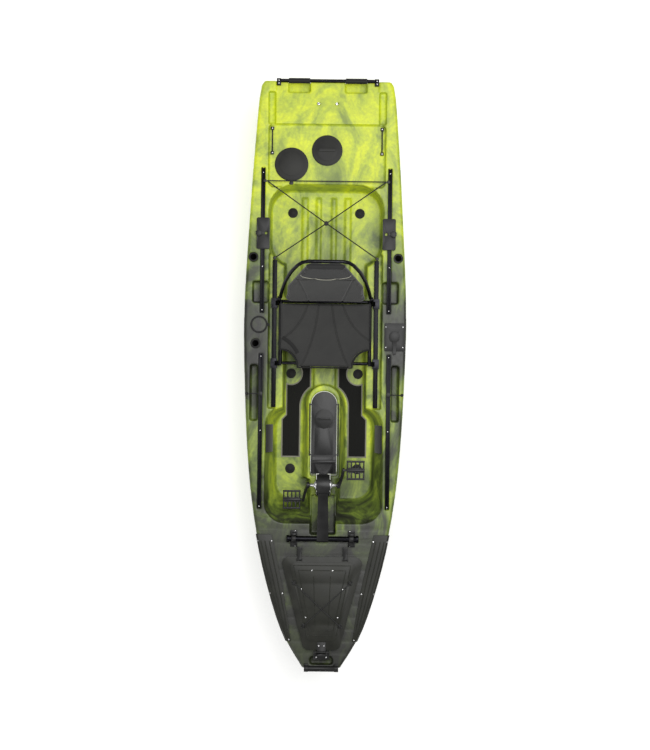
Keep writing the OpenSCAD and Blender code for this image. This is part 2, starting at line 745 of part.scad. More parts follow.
// Balls on short elastic loops that hold a paddle on each gunwale
module paddle_keepers() {
  color("black") both_sides() {
    translate([482, -132, 214]) rotate([0, 90, 0]) rotate_extrude($fn = 48)
      intersection() {
        circle(r = 10, $fn = 48);
        translate([0, -20]) square(40);
      }
    bar_x(409, 476, -132, 214, 3);
    translate([396, -132, track_z + 10]) cylinder(r = 13, h = 5, $fn = 32);
  }
}

// Seat: rails on the hull, a tube frame on sliding shoes, and a sling
rail_x = 316;
rail_top = 183;
frame_z = 236;
frame_r = 12.5;
module seat_rails() {
  color("dimgray") both_sides() box([rail_x - 14, rail_x + 14], [-215, 700], [ledge_z, rail_top]);
}
module seat_frame() {
  color("silver") {
    both_sides() {
      bar_y(54, 449, seat_half - 4, frame_z, frame_r);
      for (y = [58, 432]) {
        difference() {
          box([rail_x - 20, rail_x + 20], [y - 30, y + 30], [ledge_z + 3, rail_top + 8]);
          box([rail_x - 14.4, rail_x + 14.4], [y - 31, y + 31], [ledge_z, rail_top + 0.4]);
        }
        difference() {
          hull() {
            box([rail_x - 20, rail_x - 6], [y - 14, y + 14], [rail_top + 7, rail_top + 8]);
            box([seat_half - 12, seat_half + 4], [y - 14, y + 14], [frame_z - 14, frame_z - 6]);
          }
          bar_y(0, 500, seat_half - 4, frame_z, frame_r);
        }
      }
    }
    for (y = [60, 440]) bar_x(-seat_half + 16.5, seat_half - 16.5, y, frame_z, 10);
    both_sides() difference() {
      hull() {
        box([seat_half + 8.5, seat_half + 15], [425, 448], [frame_z - 12, frame_z + 10]);
        bar_x(seat_half + 8.5, seat_half + 15, 455, 275, 14);
      }
      bar_x(0, 400, 455, 275, 6);
    }
    both_sides() bar_x(seat_half - 3, seat_half + 15, 455, 275, 6);
  }
}
module seat_sling() {
  color([0.25, 0.25, 0.26]) difference() {
    box([-seat_half, seat_half], [33, 432], [seat_z - 1, seat_z + 9]);
    for (s = [-1, 1]) translate([s * seat_half, 33, 200]) cylinder(r = 112, h = 100, $fn = 96);
  }
}
module at_back() { translate([0, 455, 275]) rotate([-recline, 0, 0]) children(); }
BACK_TUBE = [[276, 0, 17], [262, 0, 110], [240, 0, 215], [204, 0, 320], [166, 0, 392], [138, 0, 424],
             [104, 0, 437]];
module backrest_frame() {
  half = [for (p = BACK_TUBE) [p.x, 0, p.z * back_len / 450]];
  flip = [for (i = [len(half) - 1:-1:0]) [-half[i].x, 0, half[i].z]];
  color("silver") at_back() {
    swept_tube(concat(half, flip), 11, [0, 1, 0], 12);
    both_sides() difference() {
      bar_x(seat_half - 8, seat_half + 7, 0, 0, 15);
      bar_x(200, 320, 0, 0, 6.05);
    }
  }
}
module backrest_pad() {
  color([0.28, 0.28, 0.29]) at_back() hull() {
    for (c = [[244, 24], [236, 210], [124, back_len - 6]]) for (s = [-1, 1])
      translate([s * (c[0] - 30), -13, c[1] + (c[1] < 100 ? 30 : -30)]) rotate([90, 0, 0])
        cylinder(r = 30, h = 22, $fn = 32);
  }
}

// Pedal drive: everything from here to the propeller tilts up about the cross tube
axle_y = -688;
house_r = 66;
leg_r = 18;
shaft_r = 8;
unit_r = 32;
module foil(grow = 0) {
  polygon([for (a = [0:15:345]) [(leg_r + grow) * sin(a), (45 + grow) * cos(a)]]);
}
module cross_tube() {
  color("dimgray") bar_x(-216, 216, tube_y, tube_z, tube_r, 64);
  color("black") both_sides() difference() {
    bar_x(204, 222, tube_y, tube_z, tube_r + 5, 64);
    bar_x(203, 216, tube_y, tube_z, tube_r, 64);
  }
}
module drive_housing() {
  color([0.16, 0.16, 0.17]) difference() {
    union() {
      bar_x(-40, 40, axle_y, crank_z, house_r, 96);
      hull() {
        bar_x(-36, 36, tube_y, tube_z, tube_r + 4, 64);
        box([-30, 30], [axle_y - 40, axle_y - 30], [crank_z - 40, crank_z + 44]);
      }
    }
    bar_x(-34, 34, axle_y, crank_z, house_r - 7, 96);
    bar_x(-60, 60, tube_y, tube_z, tube_r, 64);
    bar_x(-60, 60, axle_y, crank_z, 18, 64);
    translate([0, axle_y, 150]) cylinder(r = shaft_r + 3, h = 100, $fn = 48);
  }
}
module crank_bearings() {
  color("silver") both_sides() difference() {
    union() {
      bar_x(34, 40, axle_y, crank_z, 18, 64);
      bar_x(40, 48, axle_y, crank_z, 34, 64);
      bar_x(48, 56, axle_y, crank_z, 20, 64);
    }
    bar_x(20, 80, axle_y, crank_z, 10.05, 64);
  }
}
module crank_axle() { color("silver") bar_x(-94, 94, axle_y, crank_z, 10, 64); }

// Straight bevel gear about +Z with its cone apex at the origin; mate_r is the pitch
// radius of the gear that it meshes with at right angles
module bevel_gear(teeth, r, mate_r, bore, back) {
  cone = norm([r, mate_r]);
  sd = r / cone;
  cd = mate_r / cone;
  m = 2 * r / teeth;
  in_s = 0.8;
  half_t = 0.35 * PI * m / 2;
  function edge(s, h, t) = [s * (cone * sd + h * cd), s * t, s * (cone * cd - h * sd)];
  root = -0.95 * m;
  a = edge(1.03, root, 0);
  b = edge(in_s - 0.04, root, 0);
  web = min(a.z + 4, back - 0.4);
  hub = min(bore + 5, a.x - 0.1);
  rotate_extrude($fn = 90)
    polygon([[bore, b.z], [b.x, b.z], [a.x, a.z], [a.x, web], [hub, web], [hub, back],
             [bore, back]]);
  for (k = [0:teeth - 1]) rotate([0, 0, 360 / teeth * k]) hull() polyhedron(
    points = [for (s = [in_s, 1]) for (q = [[root - 0.5 * m, 1.25], [0.8 * m, 0.55]])
                for (w = [-1, 1]) edge(s, q[0], w * q[1] * half_t)],
    faces = [[0, 1, 3, 2], [4, 5, 7, 6], [0, 1, 5, 4], [2, 3, 7, 6], [0, 2, 6, 4], [1, 3, 7, 5]]);
}
crown_teeth = 60;
crown_r = 48;
top_pinion_teeth = 15;
top_pinion_r = 12;
low_gear_teeth = 30;
low_gear_r = 18.75;
prop_gear_teeth = 12;
prop_gear_r = 7.5;
gear_gap = 0.15;
module crown_gear() {
  color("silver") translate([0, axle_y, crank_z]) rotate([0, 90, 0])
    rotate([0, 0, 180 / crown_teeth])
      bevel_gear(crown_teeth, crown_r, top_pinion_r, 10 + gear_gap, 33);
}
// Crank arms with the pedal spindles fixed in their ends
crank_dir = [0, cos(crank_rest), sin(crank_rest)];
function pedal_pos(s) = [0, axle_y, crank_z] + s * crank_len * crank_dir;
arm_tip_x = 117;
module crank_arms() {
  for (s = [-1, 1]) {
    p = pedal_pos(s);
    mid = [0, axle_y, crank_z] + s * crank_len * 0.45 * crank_dir;
    color("black") difference() {
      union() {
        bar_x(s * 94 - 9, s * 94 + 9, axle_y, crank_z, 19, 48);
        hull() {
          bar_x(s * 97 - 6, s * 97 + 6, axle_y, crank_z, 16, 32);
          bar_x(s * 111 - 6, s * 111 + 6, mid.y, mid.z, 14, 32);
        }
        hull() {
          bar_x(s * 111 - 6, s * 111 + 6, mid.y, mid.z, 14, 32);
          bar_x(s * (arm_tip_x + 6) - 6, s * (arm_tip_x + 6) + 6, p.y, p.z, 14, 32);
        }
      }
      bar_x(-94, 94, axle_y, crank_z, 10, 64);
      bar_x(s * 123 - 8, s * 123 + 8, p.y, p.z, 7, 48);
    }
    color("silver") bar_x(min(s * 117, s * 246), max(s * 117, s * 246), p.y, p.z, 7, 48);
  }
}
module pedal(s) {
  p = pedal_pos(s);
  color([0.18, 0.18, 0.19]) translate([s * 195, p.y, p.z]) {
    difference() {
      union() {
        box([-pedal_w / 2, pedal_w / 2], [-14, 14], [-12, 12]);
        for (y = [14, -pedal_l / 2]) box([-pedal_w / 2, -pedal_w / 2 + 14], [y, y + pedal_l / 2 - 14], [-9, 9]);
        for (y = [14, -pedal_l / 2]) box([pedal_w / 2 - 14, pedal_w / 2], [y, y + pedal_l / 2 - 14], [-9, 9]);
        for (y = [pedal_l / 2 - 12, -pedal_l / 2]) box([-pedal_w / 2, pedal_w / 2], [y, y + 12], [-9, 9]);
      }
      bar_x(-80, 80, 0, 0, 7.05, 48);
    }
  }
}

unit_z = -prop_depth;
module drive_leg() {
  color([0.16, 0.16, 0.17]) {
    difference() {
      union() {
        translate([0, axle_y - 2, unit_z + 10]) linear_extrude(crank_z - unit_z - 30) foil();
        translate([0, axle_y + 30, unit_z]) rotate([90, 0, 0]) rotate_extrude($fn = 96)
          polygon([[0, 0], [unit_r - 6, 0], [unit_r, 12], [unit_r, 70], [unit_r * 0.86, 92],
                   [unit_r * 0.5, 110], [0, 118]]);
      }
      bar_x(-60, 60, axle_y, crank_z, house_r, 96);
      translate([0, axle_y, unit_z]) cylinder(r = shaft_r + 2, h = 600, $fn = 48);
      bar_y(axle_y - 40, axle_y + 24, 0, unit_z, unit_r - 6, 64);
      bar_y(axle_y, axle_y + 60, 0, unit_z, 6.05, 48);
      bar_y(axle_y + 30, axle_y + 120, 0, unit_z, 24, 64);
    }
  }
}
// Shaft down the leg, with a pinion under the crown gear and a gear in the lower unit
module vertical_shaft() {
  color("silver") {
    translate([0, axle_y, unit_z + 1]) cylinder(r = 4, h = crank_z - crown_r - unit_z + 2, $fn = 48);
    translate([0, axle_y, crank_z]) rotate([180, 0, 0])
      bevel_gear(top_pinion_teeth, top_pinion_r, crown_r, 3.5, crown_r + 12);
    translate([0, axle_y, unit_z])
      bevel_gear(low_gear_teeth, low_gear_r, prop_gear_r, 3.5, 15);
  }
}
prop_y = axle_y + 56;
module prop_shaft() {
  color("silver") translate([0, axle_y, unit_z]) rotate([-90, 0, 0]) {
    translate([0, 0, 10]) cylinder(r = 4, h = 20, $fn = 48);
    bevel_gear(prop_gear_teeth, prop_gear_r, low_gear_r, 3.2, 23.6);
    translate([0, 0, 24]) cylinder(r = 6, h = 72, $fn = 48);
  }
}
module propeller() {
  color([0.16, 0.16, 0.17]) translate([0, axle_y, unit_z]) rotate([-90, 0, 0]) {
    difference() {
      union() {
        translate([0, 0, 31]) cylinder(r = 22, h = 52, $fn = 64);
        translate([0, 0, 83]) cylinder(r1 = 22, r2 = 12, h = 18, $fn = 64);
        for (s = [0, 180]) rotate([0, 0, 90 + s]) for (k = [0:3]) hull() for (j = [k, k + 1]) {
          r = 16 + (prop_r - 18) * j / 4;
          translate([r, 0, 66]) rotate([90 - 62 * pow(1 - j / 4.6, 1.2) - 14, 0, 0])
            translate([0, 0, -(j == 4 ? 12 : 21)]) cylinder(r = 2.2, h = j == 4 ? 24 : 42, $fn = 12);
        }
      }
      cylinder(r = 6.2, h = 97, $fn = 48);
    }
  }
}

// Cover that closes the drive well behind the leg; it rides up with the drive
cover_z = 160;
module well_cover() {
  color("black") difference() {
    union() {
      difference() {
        union() {
          translate([0, -195, cover_z]) cylinder(r = 79, h = 12, $fn = 96);
          box([-79, 79], [-626, -195], [cover_z, cover_z + 12]);
        }
        box([-60, 60], [-600, -200], [cover_z - 1, cover_z + 8]);
      }
      translate([0, -285, cover_z]) cylinder(r = 63, h = 17, $fn = 96);
      box([-56, 56], [-508, -341], [cover_z + 12, cover_z + 17]);
      box([-73, 73], [-560, -540], [cover_z + 12, cover_z + 40]);
      for (s = [-1, 1]) box([s * 64 - 8, s * 64 + 8], [-626, -520], [cover_z + 12, cover_z + 26]);
      box([-22, 22], [-655, -620], [cover_z, cover_z + 26]);
    }
    translate([0, -285, 100]) cylinder(r = 53, h = 100, $fn = 96);
    translate([0, axle_y - 2, 0]) linear_extrude(300) foil();
    box([-50, 50], [-562, -538], [cover_z + 14, cover_z + 28]);
  }
  color("black") both_sides() {
    bar_y(-515, -190, 90, cover_z + 10, 3);
    for (y = [-512, -200]) box([79, 87.2], [y, y + 8], [cover_z + 6, cover_z + 12]);
  }
}
module well_cap() {
  color([0.2, 0.2, 0.2]) translate([0, -285, 0]) {
    translate([0, 0, cover_z + 2]) cylinder(r = 52.6, h = 15.3, $fn = 96);
    translate([0, 0, cover_z + 17.3]) cylinder(r = 59, h = 5, $fn = 96);
    box([-40, 40], [-6, 6], [cover_z + 22.3, cover_z + 30]);
  }
}

// Small heads of the screws, the two threaded stern inserts and the transom drain plug
module screw(p, r = 4) { translate(p) cylinder(r = r, h = 2.5, $fn = 32); }
module screws_and_inserts() {
  color("silver") {
    for (s = [-1, 1]) difference() {
      translate([s * insert_gap / 2, 1668, platform_z - 20]) cylinder(r = 8, h = 20, $fn = 48);
      translate([s * insert_gap / 2, 1668, 100]) cylinder(r = 3.25, h = 200, $fn = 48);
    }
    for (x = [-52.5, 52.5], y = [-63.5, 63.5]) screw([STEER[0] + x, 226.5 + y, 212]);
    both_sides() {
      for (y = [-1069, -978.5]) screw([saddle_x - 10, y, saddle_base + 3], 3.5);
      for (y = [388, 657, 1240]) screw([393, y, track_z + 3], 3.4);
      for (y = [-830, -360, 100]) screw([396, y, track_z + 3], 3.4);
      for (y = [1362, 1514]) screw([340, y, rear_deck_z + 18]);
      for (y = [1788, 1806]) screw([303, y, stern_bar_z + 12]);
    }
  }
  color("black") bar_y(1806, 1813, 200, 30, 15);
}

hull_bottom();
deck_part([-600, 600], [-1840, bow_cut - cut_gap]);  // deck_bow
deck_part([cut_gap, 600], [bow_cut + cut_gap, aft_cut - cut_gap]);  // deck_port
deck_part([-600, -cut_gap], [bow_cut + cut_gap, aft_cut - cut_gap]);  // deck_starboard
deck_part([-600, 600], [aft_cut + cut_gap, 1840]);  // deck_aft
bow_trims();
bow_handle();
stern_grab_bar();
stern_grips();
bow_hatch_lid();
bow_hatch_gasket();
bow_hatch_hinge();
hatch_bungee();
union() {
  hatch_pad_eyes();
  color("black") latch_ears();
}
union() {  // deck_fittings
  hatch_keepers();
  tie_rails();
  bungee_anchors();
  paddle_keepers();
}
hatch_latch(1);  // hatch_latch_port
hatch_latch(-1);  // hatch_latch_starboard
drive_saddles();
drive_latch(1);  // drive_latch_port
drive_latch(-1);  // drive_latch_starboard
rear_hatch_rings();
large_hatch_lid();
small_hatch_lid();
gear_tracks();
track_bracket(1);  // track_bracket_port
track_bracket(-1);  // track_bracket_starboard
bracket_knob(1);  // bracket_knob_port
bracket_knob(-1);  // bracket_knob_starboard
tank_bungee();
scupper_plugs();
rod_holders();
holder_ring();
steering_plate();
steering_lever();
steering_cables();
rudder_bracket();
rudder_stock();
rudder_blade();
floor_mats();
side_nets();
seat_rails();
seat_frame();
seat_sling();
backrest_frame();
backrest_pad();
cross_tube();
drive_housing();
crank_bearings();
crank_axle();
crown_gear();
crank_arms();
pedal(1);  // pedal_port
pedal(-1);  // pedal_starboard
drive_leg();
vertical_shaft();
prop_shaft();
propeller();
well_cover();
well_cap();
screws_and_inserts();
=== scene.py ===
import math

import bmesh
import bpy
from mathutils import Matrix, Vector


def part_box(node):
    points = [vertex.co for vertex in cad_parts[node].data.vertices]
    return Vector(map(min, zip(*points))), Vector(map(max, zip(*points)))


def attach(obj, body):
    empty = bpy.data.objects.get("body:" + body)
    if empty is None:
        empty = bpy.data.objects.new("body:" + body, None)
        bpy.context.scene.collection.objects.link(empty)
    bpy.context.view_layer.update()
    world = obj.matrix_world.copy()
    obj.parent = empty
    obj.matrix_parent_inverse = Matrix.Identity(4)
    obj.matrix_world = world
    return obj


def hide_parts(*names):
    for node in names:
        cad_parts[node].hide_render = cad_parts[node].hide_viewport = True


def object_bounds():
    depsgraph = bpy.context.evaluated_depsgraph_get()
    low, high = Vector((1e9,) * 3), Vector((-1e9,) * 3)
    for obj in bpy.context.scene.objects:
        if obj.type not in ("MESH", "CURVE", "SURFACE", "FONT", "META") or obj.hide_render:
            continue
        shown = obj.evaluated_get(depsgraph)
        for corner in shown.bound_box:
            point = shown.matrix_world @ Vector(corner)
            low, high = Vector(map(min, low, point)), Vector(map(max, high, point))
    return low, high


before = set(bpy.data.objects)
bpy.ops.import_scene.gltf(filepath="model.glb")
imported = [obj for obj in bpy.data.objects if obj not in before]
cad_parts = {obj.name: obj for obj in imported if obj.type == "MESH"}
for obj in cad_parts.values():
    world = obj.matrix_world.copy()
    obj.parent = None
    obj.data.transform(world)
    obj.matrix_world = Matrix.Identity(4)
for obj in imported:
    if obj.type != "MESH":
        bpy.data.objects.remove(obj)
cad_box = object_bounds()

# ---- Camera, floor and light ----------------------------------------------------------------
# A long lens straight above the deck, turned a little, over a pale studio floor with a
# large soft light overhead and a weaker one from the bow.
camera_height = 8.7
camera_roll = 0.69
deck_height = 0.2
view_height = 4.65
sensor = 24.0
floor_gap = 0.02
camera_data = bpy.data.cameras.new("camera")
camera_data.sensor_fit = "VERTICAL"
camera_data.sensor_height = sensor
camera_data.lens = sensor * (camera_height - deck_height) / view_height
camera = bpy.data.objects.new("camera", camera_data)
camera.location = (0.003, -0.012, camera_height)
camera.rotation_euler = (0, 0, math.radians(camera_roll))
bpy.context.scene.collection.objects.link(camera)
bpy.context.scene.camera = camera

bpy.ops.object.select_all(action="DESELECT")
bpy.ops.mesh.primitive_plane_add(size=60, location=(0, 0, cad_box[0][2] - floor_gap))
floor = bpy.context.object
floor.name = "studio_floor"

lamps = (("overhead", (0.8, 1.0, 5.5), 3.5, 230), ("bow_side", (-3.0, -4.0, 3.5), 3.0, 60))
for name, place, size, power in lamps:
    lamp = bpy.data.lights.new(name, "AREA")
    lamp.size = size
    lamp.energy = power
    lamp_object = bpy.data.objects.new(name, lamp)
    lamp_object.location = place
    lamp_object.rotation_euler = Vector(place).to_track_quat("Z", "Y").to_euler()
    bpy.context.scene.collection.objects.link(lamp_object)
world = bpy.data.worlds.new("studio")
world.use_nodes = True
background = world.node_tree.nodes["Background"]
background.inputs["Color"].default_value = (1, 1, 1, 1)
background.inputs["Strength"].default_value = 0.42
bpy.context.scene.world = world
bpy.context.scene.view_settings.view_transform = "Standard"


def srgb(code):
    """sRGB hex to the linear colour that Blender's sockets hold."""
    parts = [int(code[i:i + 2], 16) / 255 for i in (0, 2, 4)]
    return [c / 12.92 if c <= 0.04045 else ((c + 0.055) / 1.055) ** 2.4 for c in parts] + [1.0]


def add_node(material, kind, inputs=None, **settings):
    """Adds one node; an input given a socket is linked, any other is set."""
    item = material.node_tree.nodes.new(kind)
    for key, value in settings.items():
        setattr(item, key, value)
    for key, value in (inputs or {}).items():
        if isinstance(value, bpy.types.NodeSocket):
            material.node_tree.links.new(value, item.inputs[key])
        else:
            item.inputs[key].default_value = value
    return item


def new_material(name, roughness, metallic=0.0):
    """A node material and its shader."""
    material = bpy.data.materials.new(name)
    material.use_nodes = True
    shader = material.node_tree.nodes["Principled BSDF"]
    shader.inputs["Roughness"].default_value = roughness
    shader.inputs["Metallic"].default_value = metallic
    return material, shader


def link(material, socket, target):
    material.node_tree.links.new(socket, target)


def ramp(material, factor, stops):
    """A colour ramp; each stop is a position and either a hex colour or one grey value."""
    item = add_node(material, "ShaderNodeValToRGB", {"Fac": factor})
    elements = item.color_ramp.elements
    while len(elements) < len(stops):
        elements.new(0.5)
    for element, (position, tone) in zip(elements, stops):
        element.position = position
        element.color = srgb(tone) if isinstance(tone, str) else (tone, tone, tone, 1)
    return item.outputs["Color"]


def bumped(material, shader, height, strength, depth):
    """Lets a height socket drive the shader's normal."""
    bump = add_node(material, "ShaderNodeBump",
                    {"Height": height, "Strength": strength, "Distance": depth})
    link(material, bump.outputs["Normal"], shader.inputs["Normal"])


studio, studio_shader = new_material("studio_paper", 0.9)
studio_shader.inputs["Base Color"].default_value = srgb("f4f4f2")
studio_shader.inputs["Emission Color"].default_value = (1, 1, 1, 1)
studio_shader.inputs["Emission Strength"].default_value = 0.4
floor.data.materials.append(studio)

# ---- Hull -----------------------------------------------------------------------------------
# One hollow rotational moulding in polyethylene, lime at the stern and swirled with charcoal
# towards the seat and the bow. Its edges are soft, and its skin has a fine orange peel.
hull_voxel = 0.0058
wall_growth = 0.0010
hull_triangles = 190000
tank_floor = 0.045
floor_ribs = ((-0.150, -0.118), (0.120, 0.152), (-0.060, -0.035), (0.035, 0.060))
floor_ribs_start, floor_ribs_end = 0.60, 1.10
floor_rib_root, floor_rib_rise = 0.004, 0.012


def hull_polyethylene():
    """Rotomoulded polyethylene: two pigments that swirled in the mould, satin, faintly pebbled."""
    material, shader = new_material("rotomoulded_polyethylene", 0.42)
    place = add_node(material, "ShaderNodeTexCoord").outputs["Object"]
    axes = add_node(material, "ShaderNodeSeparateXYZ", {"Vector": place})
    along = add_node(material, "ShaderNodeMapRange",
                     {"Value": axes.outputs["Y"], "From Min": -1.85, "From Max": 1.85})
    # Share of charcoal from the bow (0) to the stern (1), along the middle and along the gunwales
    centre_dark = ramp(material, along.outputs["Result"],
                       [(0.0, 0.98), (0.21, 0.95), (0.25, 0.78), (0.30, 0.52), (0.38, 0.36),
                        (0.48, 0.40), (0.58, 0.52), (0.70, 0.42), (0.79, 0.20), (1.0, 0.02)])
    edge_dark = ramp(material, along.outputs["Result"],
                     [(0.0, 0.98), (0.20, 0.84), (0.27, 0.56), (0.36, 0.56), (0.46, 0.66),
                      (0.53, 0.98), (0.60, 0.94), (0.68, 0.62), (0.78, 0.30), (1.0, 0.05)])
    across = add_node(material, "ShaderNodeMath", {0: axes.outputs["X"]}, operation="ABSOLUTE")
    at_edge = add_node(material, "ShaderNodeMapRange",
                       {"Value": across.outputs[0], "From Min": 0.30, "From Max": 0.40})
    dark = add_node(material, "ShaderNodeMix",
                    {"Factor": at_edge.outputs["Result"], 2: 0.0, 3: 0.0}, data_type="FLOAT")
    link(material, centre_dark, dark.inputs[2])
    link(material, edge_dark, dark.inputs[3])
    swirl_place = add_node(material, "ShaderNodeMapping",
                           {"Vector": place, "Scale": (1.0, 0.55, 1.6)})
    swirl = add_node(material, "ShaderNodeTexNoise",
                     {"Vector": swirl_place.outputs[0], "Scale": 4.2, "Detail": 6.0,
                      "Roughness": 0.62, "Distortion": 1.4})
    spread = add_node(material, "ShaderNodeMapRange",
                      {"Value": swirl.outputs["Fac"], "From Min": 0.3, "From Max": 0.7,
                       "To Min": -0.36, "To Max": 0.36})
    total = add_node(material, "ShaderNodeMath", {0: dark.outputs[0], 1: spread.outputs["Result"]})
    tint = ramp(material, total.outputs[0],
                [(0.0, "cfdb26"), (0.2, "b1c238"), (0.4, "8a9c3a"), (0.58, "5c6d2b"),
                 (0.76, "363e22"), (1.0, "1c1d16")])
    speck = add_node(material, "ShaderNodeTexNoise",
                     {"Vector": place, "Scale": 55.0, "Detail": 3.0})
    fleck = add_node(material, "ShaderNodeMapRange",
                     {"Value": speck.outputs["Fac"], "From Min": 0.35, "From Max": 0.65,
                      "To Min": 0.88, "To Max": 1.08})
    colour = add_node(material, "ShaderNodeVectorMath", {0: tint, 1: fleck.outputs["Result"]},
                      operation="MULTIPLY")
    link(material, colour.outputs[0], shader.inputs["Base Color"])
    # Orange peel of about 1.5 mm, drawn coarser than the real 0.5 mm so that it shows
    peel = add_node(material, "ShaderNodeTexNoise",
                    {"Vector": place, "Scale": 650.0, "Detail": 2.0})
    bumped(material, shader, peel.outputs["Fac"], 0.25, 0.0006)
    gloss = add_node(material, "ShaderNodeMapRange",
                     {"Value": speck.outputs["Fac"], "To Min": 0.36, "To Max": 0.54})
    link(material, gloss.outputs["Result"], shader.inputs["Roughness"])
    return material


def select_only(piece):
    """Makes one piece the only one selected, and active."""
    bpy.ops.object.select_all(action="DESELECT")
    piece.select_set(True)
    bpy.context.view_layer.objects.active = piece


def copy_of(names, name):
    """A merged copy of some CAD nodes, at the origin, to be worked on further."""
    copies = []
    for source in names:
        twin = bpy.data.objects.new(name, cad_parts[source].data.copy())
        bpy.context.scene.collection.objects.link(twin)
        copies.append(twin)
    bpy.ops.object.select_all(action="DESELECT")
    for twin in copies:
        twin.select_set(True)
    bpy.context.view_layer.objects.active = copies[0]
    if len(copies) > 1:
        bpy.ops.object.join()
    piece = bpy.context.object
    piece.name = name
    piece.data.materials.clear()
    bpy.ops.object.mode_set(mode="EDIT")
    bpy.ops.mesh.select_all(action="SELECT")
    bpy.ops.mesh.remove_doubles(threshold=0.00001)
    bpy.ops.object.mode_set(mode="OBJECT")
    return piece


def apply_modifier(piece, kind, **settings):
    """Adds one modifier and applies it."""
    select_only(piece)
    modifier = piece.modifiers.new(kind.lower(), kind)
    for key, value in settings.items():
        setattr(modifier, key, value)
    bpy.ops.object.modifier_apply(modifier=modifier.name)


def thin_to(piece, triangles):
    """Decimates a mesh that has more triangles than it should."""
    have = sum(len(face.vertices) - 2 for face in piece.data.polygons)
    if have > triangles:
        apply_modifier(piece, "DECIMATE", ratio=triangles / have)


def dress(piece, material, angle=None):
    """Gives a piece its material and smooth shading."""
    select_only(piece)
    piece.data.materials.clear()
    piece.data.materials.append(material)
    if angle is None:
        bpy.ops.object.shade_smooth()
    else:
        bpy.ops.object.shade_smooth_by_angle(angle=math.radians(angle))


def box_mesh(low, high, name="box"):
    """A block between two corners."""
    size = [b - a for a, b in zip(low, high)]
    middle = [(a + b) / 2 for a, b in zip(low, high)]
    bpy.ops.object.select_all(action="DESELECT")
    bpy.ops.mesh.primitive_cube_add(size=1, location=middle)
    piece = bpy.context.object
    piece.name = name
    piece.scale = size
    bpy.ops.object.transform_apply(location=True, rotation=True, scale=True)
    return piece


def join(pieces, name):
    """Joins meshes into one object."""
    bpy.ops.object.select_all(action="DESELECT")
    for piece in pieces:
        piece.select_set(True)
    bpy.context.view_layer.objects.active = pieces[0]
    bpy.ops.object.join()
    pieces[0].name = name
    return pieces[0]


hull_nodes = ("hull_bottom", "deck_bow", "deck_port", "deck_starboard", "deck_aft")
hull = copy_of(hull_nodes, "hull_moulding")
mouldings = [hull]
for x0, x1 in floor_ribs:
    mouldings.append(box_mesh((x0, floor_ribs_start, tank_floor - floor_rib_root),
                              (x1, floor_ribs_end, tank_floor + floor_rib_rise)))
hull = join(mouldings, "hull_moulding")
# The wall is thinner than a voxel, so it is grown first and shrunk back once it is remeshed
apply_modifier(hull, "DISPLACE", strength=wall_growth, mid_level=0.0)
apply_modifier(hull, "REMESH", mode="VOXEL", voxel_size=hull_voxel)
apply_modifier(hull, "SMOOTH", factor=0.5, iterations=3)
apply_modifier(hull, "DISPLACE", strength=-wall_growth, mid_level=0.0)
thin_to(hull, hull_triangles)
polyethylene = hull_polyethylene()
dress(hull, polyethylene)
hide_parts(*hull_nodes)
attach(hull, "boat")


# ---- Moulded black nylon fittings -----------------------------------------------------------
# Brackets, keepers, rings, saddles, rudder parts and handles are injection moulded in black
# nylon with a light spark texture and slightly worn, paler edges.
def textured_plastic(name, code, pale_code, roughness, grain_scale=900.0, grain=0.3):
    """Moulded plastic: a fine spark texture and a slightly cloudy, dusty colour."""
    material, shader = new_material(name, roughness)
    shader.inputs["Specular IOR Level"].default_value = 0.3
    place = add_node(material, "ShaderNodeTexCoord").outputs["Object"]
    cloud = add_node(material, "ShaderNodeTexNoise",
                     {"Vector": place, "Scale": 14.0, "Detail": 5.0})
    geometry = add_node(material, "ShaderNodeNewGeometry")
    edge = add_node(material, "ShaderNodeMapRange",
                    {"Value": geometry.outputs["Pointiness"], "From Min": 0.5, "From Max": 0.62})
    wear = add_node(material, "ShaderNodeMath", {0: edge.outputs["Result"], 1: 0.35},
                    operation="MULTIPLY")
    mask = add_node(material, "ShaderNodeMath", {0: cloud.outputs["Fac"], 1: wear.outputs[0]})
    tint = ramp(material, mask.outputs[0], [(0.3, code), (0.95, pale_code)])
    link(material, tint, shader.inputs["Base Color"])
    grainy = add_node(material, "ShaderNodeTexNoise",
                      {"Vector": place, "Scale": grain_scale, "Detail": 2.0})
    bumped(material, shader, grainy.outputs["Fac"], grain, 0.0004)
    shine = add_node(material, "ShaderNodeMapRange",
                     {"Value": cloud.outputs["Fac"], "To Min": roughness - 0.08,
                      "To Max": roughness + 0.1})
    link(material, shine.outputs["Result"], shader.inputs["Roughness"])
    return material


def soften(node, material, width=0.0012, segments=2, angle=30):
    """Rounds the edges of a CAD node and gives it its material; its own mesh stays as it is."""
    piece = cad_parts[node]
    piece.data.materials.clear()
    piece.data.materials.append(material)
    weld = piece.modifiers.new("weld", "WELD")
    weld.merge_threshold = 0.00002
    bevel = piece.modifiers.new("bevel", "BEVEL")
    bevel.width = width
    bevel.segments = segments
    bevel.limit_method = "ANGLE"
    bevel.angle_limit = math.radians(angle)
    bevel.harden_normals = False
    select_only(piece)
    bpy.ops.object.shade_smooth_by_angle(angle=math.radians(28))


black_nylon = textured_plastic("spark_textured_nylon", "0e0e0e", "222221", 0.42)
for node in ("bow_handle", "bow_hatch_hinge", "hatch_pad_eyes", "deck_fittings", "drive_saddles",
             "drive_latch_port", "drive_latch_starboard", "rear_hatch_rings",
             "track_bracket_port", "track_bracket_starboard", "bracket_knob_port",
             "bracket_knob_starboard", "rod_holders", "rudder_bracket",
             "rudder_stock", "rudder_blade", "steering_plate", "steering_lever",
             "well_cap", "hatch_latch_port", "hatch_latch_starboard"):
    soften(node, black_nylon)

